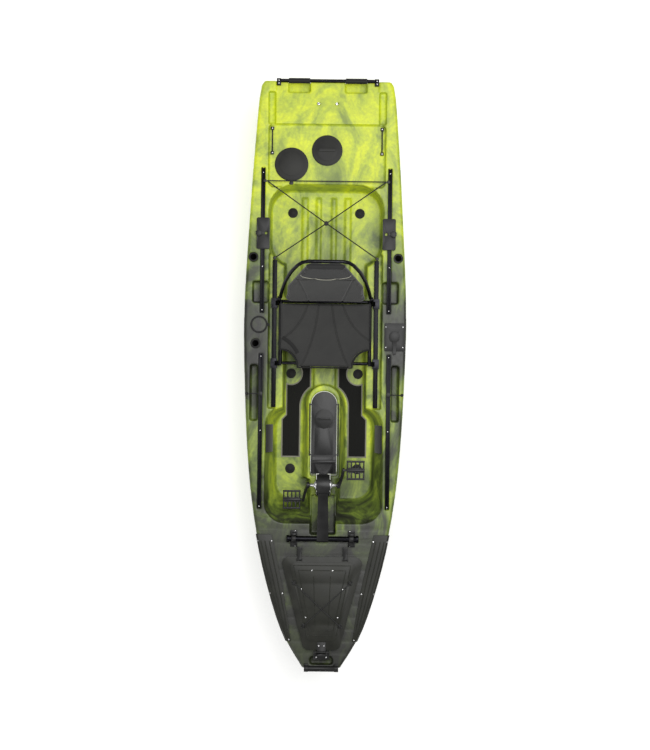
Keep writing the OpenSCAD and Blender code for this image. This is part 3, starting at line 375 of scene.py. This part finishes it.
# ---- Rubber and soft-touch parts ------------------------------------------------------------
# Grips, plugs, gasket and the retaining ring are black rubber: matt, a little grey with dust.
# The two round lids are a paler, warmer rubber.
rubber = textured_plastic("matt_rubber", "0c0c0c", "1d1d1c", 0.62, grain_scale=500.0)
for node in ("bow_hatch_gasket", "scupper_plugs", "holder_ring"):
    soften(node, rubber)
lid_rubber = textured_plastic("lid_rubber", "1c1c1a", "2e2e2a", 0.55, grain_scale=600.0)
for node in ("large_hatch_lid", "small_hatch_lid"):
    soften(node, lid_rubber)


# ---- Aluminium and steel --------------------------------------------------------------------
# The tracks, seat rails and tubes are drawn and extruded aluminium. The axles, shafts, gears
# and screws are stainless steel.
def drawn_metal(name, code, pale_code, roughness, stretch):
    """Extruded or drawn metal: faint lines along its length and a soft sheen."""
    material, shader = new_material(name, roughness, 1.0)
    place = add_node(material, "ShaderNodeTexCoord").outputs["Object"]
    lines = add_node(material, "ShaderNodeMapping", {"Vector": place, "Scale": stretch})
    streak = add_node(material, "ShaderNodeTexNoise",
                      {"Vector": lines.outputs[0], "Scale": 60.0, "Detail": 4.0})
    tint = ramp(material, streak.outputs["Fac"], [(0.3, code), (0.7, pale_code)])
    link(material, tint, shader.inputs["Base Color"])
    bumped(material, shader, streak.outputs["Fac"], 0.08, 0.0005)
    shine = add_node(material, "ShaderNodeMapRange",
                     {"Value": streak.outputs["Fac"], "To Min": roughness - 0.08,
                      "To Max": roughness + 0.12})
    link(material, shine.outputs["Result"], shader.inputs["Roughness"])
    return material


black_anodised = drawn_metal("black_anodised_aluminium", "141415", "242427", 0.38, (8, 0.4, 8))
black_tube = drawn_metal("black_anodised_tube", "141416", "242428", 0.34, (0.4, 8, 8))
satin_aluminium = drawn_metal("satin_aluminium", "1b1b1d", "303034", 0.36, (1, 1, 1))
stainless = drawn_metal("stainless_steel", "b4b4b6", "d8d8d6", 0.28, (1, 1, 1))
for node in ("gear_tracks", "seat_rails"):
    soften(node, black_anodised, 0.0008)
for node in ("stern_grab_bar", "cross_tube"):
    soften(node, black_tube)
for node in ("crank_bearings", "crank_axle", "crown_gear", "vertical_shaft", "prop_shaft",
             "screws_and_inserts"):
    soften(node, stainless, 0.0003, 1)

# ---- Drive casings --------------------------------------------------------------------------
# Glass-filled nylon, charcoal, moulded in thick shells with rounded edges.
charcoal_nylon = textured_plastic("glass_filled_nylon", "121212", "272727", 0.36, grain_scale=800.0)
for node in ("drive_housing", "drive_leg", "propeller", "crank_arms", "well_cover"):
    soften(node, charcoal_nylon, 0.002, 3)


# ---- Pedals ---------------------------------------------------------------------------------
# Each pedal is a moulded cage: a rounded rim, a barrel round the spindle with flanges, and
# rows of tread blocks on both faces.
rim_w = 0.012
rim_half_t = 0.0085
hub_half_l = 0.013
bar_half_w = 0.0045
bar_half_t = 0.0075
barrel_r = 0.0118
spindle_bore_r = 0.0071
tread_count = 7
tread_half_w = 0.0030
flange_pitch = 0.018


def rounded(piece, width, segments=3):
    """Rounds a piece's sharp edges."""
    apply_modifier(piece, "BEVEL", width=width, segments=segments, limit_method="ANGLE")
    return piece


def barrel(x0, x1, y, z, radius, name="barrel", sides=48):
    """A round bar along X."""
    bpy.ops.object.select_all(action="DESELECT")
    bpy.ops.mesh.primitive_cylinder_add(vertices=sides, radius=radius, depth=x1 - x0,
                                        location=((x0 + x1) / 2, y, z),
                                        rotation=(0, math.radians(90), 0))
    piece = bpy.context.object
    piece.name = name
    bpy.ops.object.transform_apply(location=True, rotation=True, scale=True)
    return piece


def cut_from(piece, cutter):
    """Cuts one mesh out of another."""
    apply_modifier(piece, "BOOLEAN", operation="DIFFERENCE", object=cutter, solver="EXACT")
    bpy.data.objects.remove(cutter)


for node, body in (("pedal_port", "pedal_left"), ("pedal_starboard", "pedal_right")):
    low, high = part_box(node)
    x, y, z = [(a + b) / 2 for a, b in zip(low, high)]
    half_w, half_l = (high[0] - low[0]) / 2, (high[1] - low[1]) / 2
    bars = [box_mesh((x - half_w, y - hub_half_l, z - rim_half_t),
                     (x + half_w, y + hub_half_l, z + rim_half_t))]
    for end in (-1, 1):
        ends = sorted((y + end * (half_l - rim_w), y + end * half_l))
        bars.append(box_mesh((x - half_w, ends[0], z - rim_half_t),
                             (x + half_w, ends[1], z + rim_half_t)))
        reach = sorted((y + end * 0.012, y + end * (half_l - 0.006)))
        for k in (-2, -1, 0, 1, 2):
            middle_x = x + k * (half_w - 0.0055) / 2
            bars.append(box_mesh((middle_x - bar_half_w, reach[0], z - bar_half_t),
                                 (middle_x + bar_half_w, reach[1], z + bar_half_t)))
    for bar in bars:
        rounded(bar, 0.0028)
    core = rounded(barrel(x - half_w, x + half_w, y, z, barrel_r), 0.0012, 2)
    for solid in (bars[0], core):
        cut_from(solid, barrel(x - 0.08, x + 0.08, y, z, spindle_bore_r))
    solids = bars + [core]
    for k in range(tread_count):
        rib_x = x - half_w + 0.010 + k * (2 * half_w - 0.020) / (tread_count - 1)
        for end in (-1, 1):
            for face in (-1, 1):
                places = sorted((z + face * 0.0065, z + face * 0.0112))
                ends = sorted((y + end * (half_l - 0.0125), y + end * (half_l - 0.002)))
                solids.append(rounded(box_mesh((rib_x - tread_half_w, ends[0], places[0]),
                                               (rib_x + tread_half_w, ends[1], places[1])),
                                      0.0012, 2))
    for end in (-1, 1):
        for k in (-2, -1, 0, 1, 2):
            flange_x, flange_y = x + k * flange_pitch, y + end * 0.0135
            solids.append(rounded(box_mesh((flange_x - 0.0045, flange_y - 0.0035, z - 0.0105),
                                           (flange_x + 0.0045, flange_y + 0.0035, z + 0.0105)),
                                  0.0012, 2))
    pedal = join(solids, node + "_moulding")
    dress(pedal, charcoal_nylon, 35)
    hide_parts(node)
    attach(pedal, body)

# ---- Hand grips -----------------------------------------------------------------------------
# Ribbed rubber sleeves on the stern bar: rounded rings with narrow grooves between them.
ring_count = 16
groove_depth = 0.0022
groove_half_w = 0.0009
grip_inner_end = 0.110
bar_bore_r = 0.0111
stern_low, stern_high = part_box("stern_grips")
grip_y, grip_z = (stern_low[1] + stern_high[1]) / 2, (stern_low[2] + stern_high[2]) / 2
grip_r = (stern_high[2] - stern_low[2]) / 2
sleeves = []
for side in (-1, 1):
    start, end = sorted((side * grip_inner_end, side * stern_high[0]))
    pitch = (end - start) / ring_count
    rings = [barrel(start, end, grip_y, grip_z, grip_r - groove_depth, "grip_core")]
    for k in range(ring_count):
        rings.append(rounded(barrel(start + k * pitch + groove_half_w,
                                    start + (k + 1) * pitch - groove_half_w,
                                    grip_y, grip_z, grip_r), 0.0014, 2))
    sleeve = join(rings, "grip_sleeve")
    cut_from(sleeve, barrel(start - 0.01, end + 0.01, grip_y, grip_z, bar_bore_r))
    sleeves.append(sleeve)
grips = join(sleeves, "ribbed_grips")
dress(grips, rubber, 35)
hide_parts("stern_grips")
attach(grips, "boat")

# ---- Bow hatch lid and bow trims ------------------------------------------------------------
# Both are dark olive mouldings with well-rounded edges. Their raised ribs come further down.
dark_polyethylene = textured_plastic("dark_polyethylene", "15160f", "26271f", 0.42,
                                     grain_scale=650.0)
for node in ("bow_hatch_lid", "bow_trims"):
    soften(node, dark_polyethylene, 0.0025, 3)

# ---- Sling seat -----------------------------------------------------------------------------
# A padded sling of dark grey woven mesh, bound with black tape, stretched over the side tubes.
# Four sewn channels fan out from the back to the front corners, and those are cut away.
seat_low, seat_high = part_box("seat_sling")
pad_voxel = 0.0045
seat_swell = 0.006
seam_width = 0.0045
seam_depth = 0.006
seat_sag = 0.010
corner_r = 0.112
binding_r = 0.006


def woven_mesh(name, code, pale_code):
    """Coated polyester mesh: 2 mm threads, drawn at 3 mm so that they show, with a soft sheen."""
    material, shader = new_material(name, 0.75)
    shader.inputs["Sheen Weight"].default_value = 0.25
    shader.inputs["Sheen Roughness"].default_value = 0.5
    place = add_node(material, "ShaderNodeTexCoord").outputs["Object"]
    warp = add_node(material, "ShaderNodeTexWave", {"Vector": place, "Scale": 105.0},
                    bands_direction="X")
    weft = add_node(material, "ShaderNodeTexWave", {"Vector": place, "Scale": 105.0},
                    bands_direction="DIAGONAL")
    weave = add_node(material, "ShaderNodeMath", {0: warp.outputs["Fac"], 1: weft.outputs["Fac"]},
                     operation="MULTIPLY")
    cloud = add_node(material, "ShaderNodeTexNoise", {"Vector": place, "Scale": 9.0, "Detail": 6.0})
    mask = add_node(material, "ShaderNodeMath", {0: weave.outputs[0], 1: cloud.outputs["Fac"]},
                    operation="MULTIPLY")
    tint = ramp(material, mask.outputs[0], [(0.05, code), (0.55, pale_code)])
    link(material, tint, shader.inputs["Base Color"])
    bumped(material, shader, weave.outputs[0], 0.35, 0.0008)
    return material


def inflate(piece, cap, pressure=4.0, frames=20):
    """Swells a closed mesh by Cloth pressure, no point further than cap, and applies the result."""
    select_only(piece)
    start = [vertex.co.copy() for vertex in piece.data.vertices]
    cloth = piece.modifiers.new("cloth", "CLOTH")
    cloth.settings.quality = 5
    cloth.settings.mass = 0.3
    cloth.settings.tension_stiffness = 15
    cloth.settings.bending_stiffness = 0.6
    cloth.settings.use_pressure = True
    cloth.settings.uniform_pressure_force = pressure
    cloth.settings.effector_weights.gravity = 0
    for number in range(1, frames + 1):
        bpy.context.scene.frame_set(number)
    view = piece.evaluated_get(bpy.context.evaluated_depsgraph_get())
    moved = [vertex.co.copy() for vertex in view.data.vertices]
    piece.modifiers.remove(cloth)
    bpy.context.scene.frame_set(1)
    for vertex, old, new in zip(piece.data.vertices, start, moved):
        shift = new - old
        if shift.length > cap:
            shift *= cap / shift.length
        vertex.co = old + shift
    piece.data.update()


def nearest_on(route, x, y):
    """Distance from a point to a polyline in plan."""
    best = 9.0
    for (ax, ay), (bx, by) in zip(route, route[1:]):
        length = (bx - ax) ** 2 + (by - ay) ** 2
        t = max(0.0, min(1.0, ((x - ax) * (bx - ax) + (y - ay) * (by - ay)) / length))
        best = min(best, math.hypot(x - ax - t * (bx - ax), y - ay - t * (by - ay)))
    return best


def curved(start, bend, end, steps=14):
    """Points of a quadratic curve, for a sewn line."""
    points = []
    for k in range(steps + 1):
        t = k / steps
        points.append(tuple((1 - t) ** 2 * a + 2 * t * (1 - t) * b + t * t * c
                            for a, b, c in zip(start, bend, end)))
    return points


def tube_along(points, radius, name, material, cyclic=False, resolution=3):
    """A round cord or binding along points."""
    curve = bpy.data.curves.new(name, "CURVE")
    curve.dimensions = "3D"
    curve.bevel_depth = radius
    curve.bevel_resolution = resolution
    curve.use_fill_caps = True
    spline = curve.splines.new("POLY")
    spline.points.add(len(points) - 1)
    for point, place in zip(spline.points, points):
        point.co = (*place, 1)
    spline.use_cyclic_u = cyclic
    piece = bpy.data.objects.new(name, curve)
    bpy.context.scene.collection.objects.link(piece)
    select_only(piece)
    bpy.ops.object.convert(target="MESH")
    dress(piece, material)
    return piece


seat_mesh = woven_mesh("seat_mesh", "181817", "3c3c38")
black_tape = textured_plastic("black_webbing", "0c0c0c", "1c1c1b", 0.7, grain_scale=420.0,
                              grain=0.6)
seat_pad = copy_of(["seat_sling"], "seat_cushion")
seat_pad.data.transform(Matrix.Translation((0, 0, 0.002)))
apply_modifier(seat_pad, "REMESH", mode="VOXEL", voxel_size=pad_voxel)
inflate(seat_pad, seat_swell)
apply_modifier(seat_pad, "SUBSURF", levels=1, render_levels=1)
seat_seams = []
for side in (-1, 1):
    seat_seams.append(curved((side * 0.040, seat_high[1]), (side * 0.060, 0.20),
                             (side * 0.150, seat_low[1])))
    seat_seams.append(curved((side * 0.105, seat_high[1]), (side * 0.150, 0.27),
                             (side * 0.279, 0.20)))
middle_z = (seat_low[2] + seat_high[2]) / 2
for vertex in seat_pad.data.vertices:
    if vertex.co.z > middle_z:
        gap = min(nearest_on(route, vertex.co.x, vertex.co.y) for route in seat_seams)
        if gap < 4 * seam_width:
            vertex.co.z -= seam_depth * math.exp(-(gap / seam_width) ** 2)
        reach = abs(vertex.co.x) / seat_high[0]
        vertex.co.z -= seat_sag * (1 - reach ** 2) * 0.6
dress(seat_pad, seat_mesh)
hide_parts("seat_sling")
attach(seat_pad, "seat")

corner = []
for k in range(9):
    turn = math.radians(90 * k / 8)
    corner.append((-seat_high[0] + corner_r * math.cos(turn),
                   seat_low[1] + corner_r * math.sin(turn)))
rear_y = seat_high[1] - 0.01
rear_edge = [(seat_high[0], rear_y), (-seat_high[0], rear_y)]
edge = corner[::-1] + [(-x, y) for x, y in corner] + rear_edge
binding_z = seat_high[2] - 0.003
binding = tube_along([(x, y, binding_z) for x, y in edge], binding_r, "seat_binding", black_tape,
                     cyclic=True)
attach(binding, "seat")

# ---- Backrest -------------------------------------------------------------------------------
# A padded panel on the hinged tube frame: grey mesh below and a black top panel, parted by a
# piped seam that bows upwards at its ends.
back_angle = math.radians(27)
hinge_place = Vector((0, 0.455, 0.275))
to_back = Matrix.Translation(hinge_place) @ Matrix.Rotation(-back_angle, 4, "X")
panel_seam = 0.300
seam_bow = 1.7
back_voxel = 0.0055
back_swell = 0.009
back_face = -0.024
back_seam_depth = 0.005
pipe_half_w = 0.150
pipe_steps = 24
pipe_r = 0.0018


def backrest_cloth():
    """Grey mesh with a black coated-nylon top panel, along the slope of the backrest."""
    material = woven_mesh("backrest_mesh", "1a1a19", "3a3a36")
    shader = material.node_tree.nodes["Principled BSDF"]
    grey = shader.inputs["Base Color"].links[0].from_socket
    place = add_node(material, "ShaderNodeTexCoord").outputs["Object"]
    turned = add_node(material, "ShaderNodeMapping",
                      {"Vector": place, "Location": to_back.inverted().to_translation(),
                       "Rotation": to_back.inverted().to_euler()})
    axes = add_node(material, "ShaderNodeSeparateXYZ", {"Vector": turned.outputs[0]})
    square = add_node(material, "ShaderNodeMath", {0: axes.outputs["X"], 1: axes.outputs["X"]},
                      operation="MULTIPLY")
    bowed = add_node(material, "ShaderNodeMath", {0: square.outputs[0], 1: seam_bow},
                     operation="MULTIPLY")
    above = add_node(material, "ShaderNodeMath", {0: axes.outputs["Z"], 1: bowed.outputs[0]},
                     operation="SUBTRACT")
    top = add_node(material, "ShaderNodeMapRange",
                   {"Value": above.outputs[0], "From Min": panel_seam - 0.001,
                    "From Max": panel_seam + 0.001})
    both = add_node(material, "ShaderNodeMix", {"Factor": top.outputs["Result"]}, data_type="RGBA")
    link(material, grey, both.inputs[6])
    both.inputs[7].default_value = srgb("0e0e0e")
    link(material, both.outputs[2], shader.inputs["Base Color"])
    return material


back_pad = copy_of(["backrest_pad"], "backrest_cushion")
apply_modifier(back_pad, "REMESH", mode="VOXEL", voxel_size=back_voxel)
inflate(back_pad, back_swell)
apply_modifier(back_pad, "SUBSURF", levels=1, render_levels=1)
back_seams = [curved((-0.20, 0.285), (0.0, 0.335), (0.20, 0.285))]
for side in (-1, 1):
    back_seams.append(curved((side * 0.10, 0.03), (side * 0.125, 0.15), (side * 0.16, 0.29)))
from_back = to_back.inverted()
for vertex in back_pad.data.vertices:
    local = from_back @ vertex.co
    if local.y < back_face:
        gap = min(nearest_on(route, local.x, local.z) for route in back_seams)
        if gap < 4 * seam_width:
            local.y += back_seam_depth * math.exp(-(gap / seam_width) ** 2)
            vertex.co = to_back @ local
dress(back_pad, backrest_cloth())
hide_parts("backrest_pad")
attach(back_pad, "backrest")

piping, piping_shader = new_material("reflective_piping", 0.45)
piping_shader.inputs["Base Color"].default_value = srgb("a9a898")
pipe_points = []
for k in range(pipe_steps + 1):
    across = -pipe_half_w + 2 * pipe_half_w * k / pipe_steps
    start = to_back @ Vector((across, -0.2, panel_seam + seam_bow * across ** 2))
    hit, place, _, _ = back_pad.ray_cast(start, to_back.to_3x3() @ Vector((0, 1, 0)))
    if hit:
        pipe_points.append(tuple(place))
pipe = tube_along(pipe_points, pipe_r, "backrest_piping", piping)
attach(pipe, "backrest")
soften("backrest_frame", satin_aluminium, 0.0005)
soften("seat_frame", satin_aluminium)

# ---- Elastic cords --------------------------------------------------------------------------
# Braided elastic over the hatch and the tank well, hooked taut between its anchors. The
# steering cables' sleeves have the same braid.
braid, braid_shader = new_material("braided_elastic", 0.7)
braid_place = add_node(braid, "ShaderNodeTexCoord").outputs["Object"]
braid_wave = add_node(braid, "ShaderNodeTexWave",
                      {"Vector": braid_place, "Scale": 120.0, "Distortion": 1.0},
                      bands_direction="DIAGONAL")
link(braid, ramp(braid, braid_wave.outputs["Fac"], [(0.3, "0d0d0d"), (0.8, "2b2b2b")]),
     braid_shader.inputs["Base Color"])
bumped(braid, braid_shader, braid_wave.outputs["Fac"], 0.6, 0.0006)
for node in ("hatch_bungee", "tank_bungee", "steering_cables"):
    soften(node, braid, 0.0003, 1)

# ---- Floor mats and side nets ---------------------------------------------------------------
# The mats are closed-cell foam, cut with a bevel that shows a grey core and milled with fine
# grooves. The nets are black mesh in a folded hem.
mat_foam, mat_shader = new_material("grooved_foam", 0.85)
mat_shader.inputs["Specular IOR Level"].default_value = 0.25
mat_place = add_node(mat_foam, "ShaderNodeTexCoord").outputs["Object"]
grooves = add_node(mat_foam, "ShaderNodeTexWave", {"Vector": mat_place, "Scale": 18.0},
                   bands_direction="X")
cells = add_node(mat_foam, "ShaderNodeTexNoise",
                 {"Vector": mat_place, "Scale": 240.0, "Detail": 3.0})
link(mat_foam, ramp(mat_foam, cells.outputs["Fac"], [(0.3, "0d0d0c"), (0.7, "1a1a18")]),
     mat_shader.inputs["Base Color"])
bumped(mat_foam, mat_shader, grooves.outputs["Fac"], 0.6, 0.001)
mat_edge = textured_plastic("foam_grey_core", "6f6d62", "8b897c", 0.85, grain_scale=300.0)
mats = copy_of(["floor_mats"], "milled_mats")
mat_border = 0.008
mat_bevel = 0.0018
mat_top = max(vertex.co.z for vertex in mats.data.vertices)
shape = bmesh.new()
shape.from_mesh(mats.data)
bmesh.ops.dissolve_limit(shape, angle_limit=math.radians(1), verts=shape.verts, edges=shape.edges)
tops = [face for face in shape.faces if face.normal.z > 0.9]
bmesh.ops.inset_region(shape, faces=tops, thickness=mat_border, use_even_offset=True)
inner = {vertex for face in tops for vertex in face.verts}
for face in shape.faces:
    face.material_index = 0 if face in tops else 1
for vertex in shape.verts:
    if vertex not in inner and vertex.co.z > mat_top - 0.0001:
        vertex.co.z -= mat_bevel
bmesh.ops.triangulate(shape, faces=shape.faces)
shape.to_mesh(mats.data)
shape.free()
mats.data.materials.append(mat_foam)
mats.data.materials.append(mat_edge)
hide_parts("floor_mats")
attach(mats, "boat")
net_cloth = woven_mesh("net_mesh", "0b0b0b", "222220")
soften("side_nets", net_cloth, 0.003, 3)

# ---- Trim ribs, lid beads and screw heads ---------------------------------------------------
# The bow trims have three raised ribs along them, and the bow lid has a beaded panel. Small
# stainless pan heads hold the trims, the hinge, the lid and its pad eyes.
rib_r = 0.0035
rib_shares = (0.22, 0.5, 0.74)
trim_first_y, trim_step, trim_stations = -1.64, 0.04, 16
trim_search = range(150, 480, 2)
bead_r = 0.0028
inner_bead_r = 0.0024
panel_aft_y, panel_bow_y = -1.185, -1.610
panel_aft_w, panel_bow_w = 0.176, 0.090
head_r = 0.0045
head_h = 0.003
slot_half_l = 0.0022
slot_half_w = 0.0004
slot_floor = 0.0009


def surface_of(node, x, y):
    """Place and normal of a CAD node's upper surface at a plan position."""
    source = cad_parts[node]
    hit, place, normal, _ = source.ray_cast((x, y, 1.0), (0, 0, -1))
    return (place, normal) if hit else (None, None)


def bead_on(node, route, radius, name, material, cyclic=False):
    """A half-sunk round bead that follows a node's surface along a plan route."""
    points = []
    for x, y in route:
        place, _ = surface_of(node, x, y)
        if place is not None:
            points.append((x, y, place.z - radius * 0.35))
    return tube_along(points, radius, name, material, cyclic)


def between(a, b, steps):
    """Evenly spaced points from one plan position to another."""
    return [(a[0] + (b[0] - a[0]) * k / steps, a[1] + (b[1] - a[1]) * k / steps)
            for k in range(steps + 1)]


trim_edges = {}
for y in [trim_first_y + trim_step * k for k in range(trim_stations)]:
    inside = [x / 1000 for x in trim_search if surface_of("bow_trims", x / 1000, y)[0] is not None]
    if inside:
        trim_edges[y] = (inside[0], inside[-1])
ribs = []
for side in (-1, 1):
    for share in rib_shares:
        route = [(side * (low + (high - low) * share), y)
                 for y, (low, high) in sorted(trim_edges.items())]
        ribs.append(bead_on("bow_trims", route, rib_r, "trim_rib", dark_polyethylene))
trim_ribs = join(ribs, "bow_trim_ribs")
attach(trim_ribs, "boat")

lid_beads = []
for grow in (0.0, 0.030):
    aft_w, aft_y = panel_aft_w - grow, panel_aft_y - grow
    bow_w, bow_y = panel_bow_w - grow * 0.6, panel_bow_y + grow
    corners = [(-aft_w, aft_y), (aft_w, aft_y), (bow_w, bow_y), (-bow_w, bow_y)]
    route = []
    for a, b in zip(corners, corners[1:] + corners[:1]):
        route += between(a, b, 12)[:-1]
    lid_beads.append(bead_on("bow_hatch_lid", route, bead_r, "lid_bead", dark_polyethylene, True))
for side in (-1, 1):
    route = between((side * 0.052, -1.25), (side * 0.040, -1.56), 10)
    lid_beads.append(bead_on("bow_hatch_lid", route, inner_bead_r, "lid_bead", dark_polyethylene))
lid_beads = join(lid_beads, "bow_lid_beads")
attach(lid_beads, "hatch_lid")


def pan_head(node, x, y):
    """One domed screw head, turned to the surface that it sits on."""
    place, normal = surface_of(node, x, y)
    if place is None:
        return None
    bpy.ops.object.select_all(action="DESELECT")
    bpy.ops.mesh.primitive_cylinder_add(vertices=20, radius=head_r, depth=head_h)
    head = bpy.context.object
    rounded(head, 0.0011, 3)
    for half_x, half_y in ((slot_half_l, slot_half_w), (slot_half_w, slot_half_l)):
        cut_from(head, box_mesh((-half_x, -half_y, slot_floor), (half_x, half_y, head_h)))
    head.data.transform(normal.to_track_quat("Z", "Y").to_matrix().to_4x4())
    head.data.transform(Matrix.Translation(place + normal * 0.0012))
    return head


def join_heads(heads, name, body):
    """Joins the screw heads that found a surface into one piece of a body."""
    piece = join([head for head in heads if head], name)
    dress(piece, stainless, 35)
    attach(piece, body)


boat_heads = []
for side in (-1, 1):
    for share, y in ((0.06, -1.02), (0.06, -1.34), (0.92, -1.34), (0.30, -1.62), (0.92, -1.03)):
        near = min(trim_edges, key=lambda row: abs(row - y))
        low, high = trim_edges[near]
        boat_heads.append(pan_head("bow_trims", side * (low + (high - low) * share), near))
    boat_heads.append(pan_head("bow_hatch_hinge", side * 0.030, -1.741))
join_heads(boat_heads, "bow_screw_heads", "boat")
lid_heads = [pan_head("bow_hatch_lid", side * x, y) for side in (-1, 1)
             for x, y in ((0.064, -1.215), (0.128, -1.33), (0.098, -1.50))]
lid_heads += [pan_head("hatch_pad_eyes", side * 0.016, -1.672) for side in (-1, 1)]
join_heads(lid_heads, "bow_lid_screw_heads", "hatch_lid")

# ---- Seat strap -----------------------------------------------------------------------------
# A short end of black webbing lies loose on the sling at its starboard front corner.
strap_route = curved((-0.262, 0.215), (-0.200, 0.185), (-0.168, 0.120))
strap_half_w = 0.011
strap_half_t = 0.0016
strap = bmesh.new()
rows = []
for k, (x, y) in enumerate(strap_route):
    ahead = strap_route[min(k + 1, len(strap_route) - 1)]
    behind = strap_route[max(k - 1, 0)]
    along = Vector((ahead[0] - behind[0], ahead[1] - behind[1], 0)).normalized()
    side = Vector((-along.y, along.x, 0)) * strap_half_w
    hit, place, _, _ = seat_pad.ray_cast((x, y, 1.0), (0, 0, -1))
    height = (place.z if hit else seat_high[2]) + strap_half_t * 1.2
    middle = Vector((x, y, height))
    rows.append([strap.verts.new(middle - side), strap.verts.new(middle + side)])
for a, b in zip(rows, rows[1:]):
    strap.faces.new((a[0], a[1], b[1], b[0]))
strap_mesh = bpy.data.meshes.new("seat_strap")
strap.to_mesh(strap_mesh)
strap.free()
seat_strap = bpy.data.objects.new("seat_strap", strap_mesh)
bpy.context.scene.collection.objects.link(seat_strap)
apply_modifier(seat_strap, "SOLIDIFY", thickness=strap_half_t * 2, offset=0.0)
apply_modifier(seat_strap, "BEVEL", width=0.0006, segments=2)
dress(seat_strap, black_tape, 35)
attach(seat_strap, "seat")
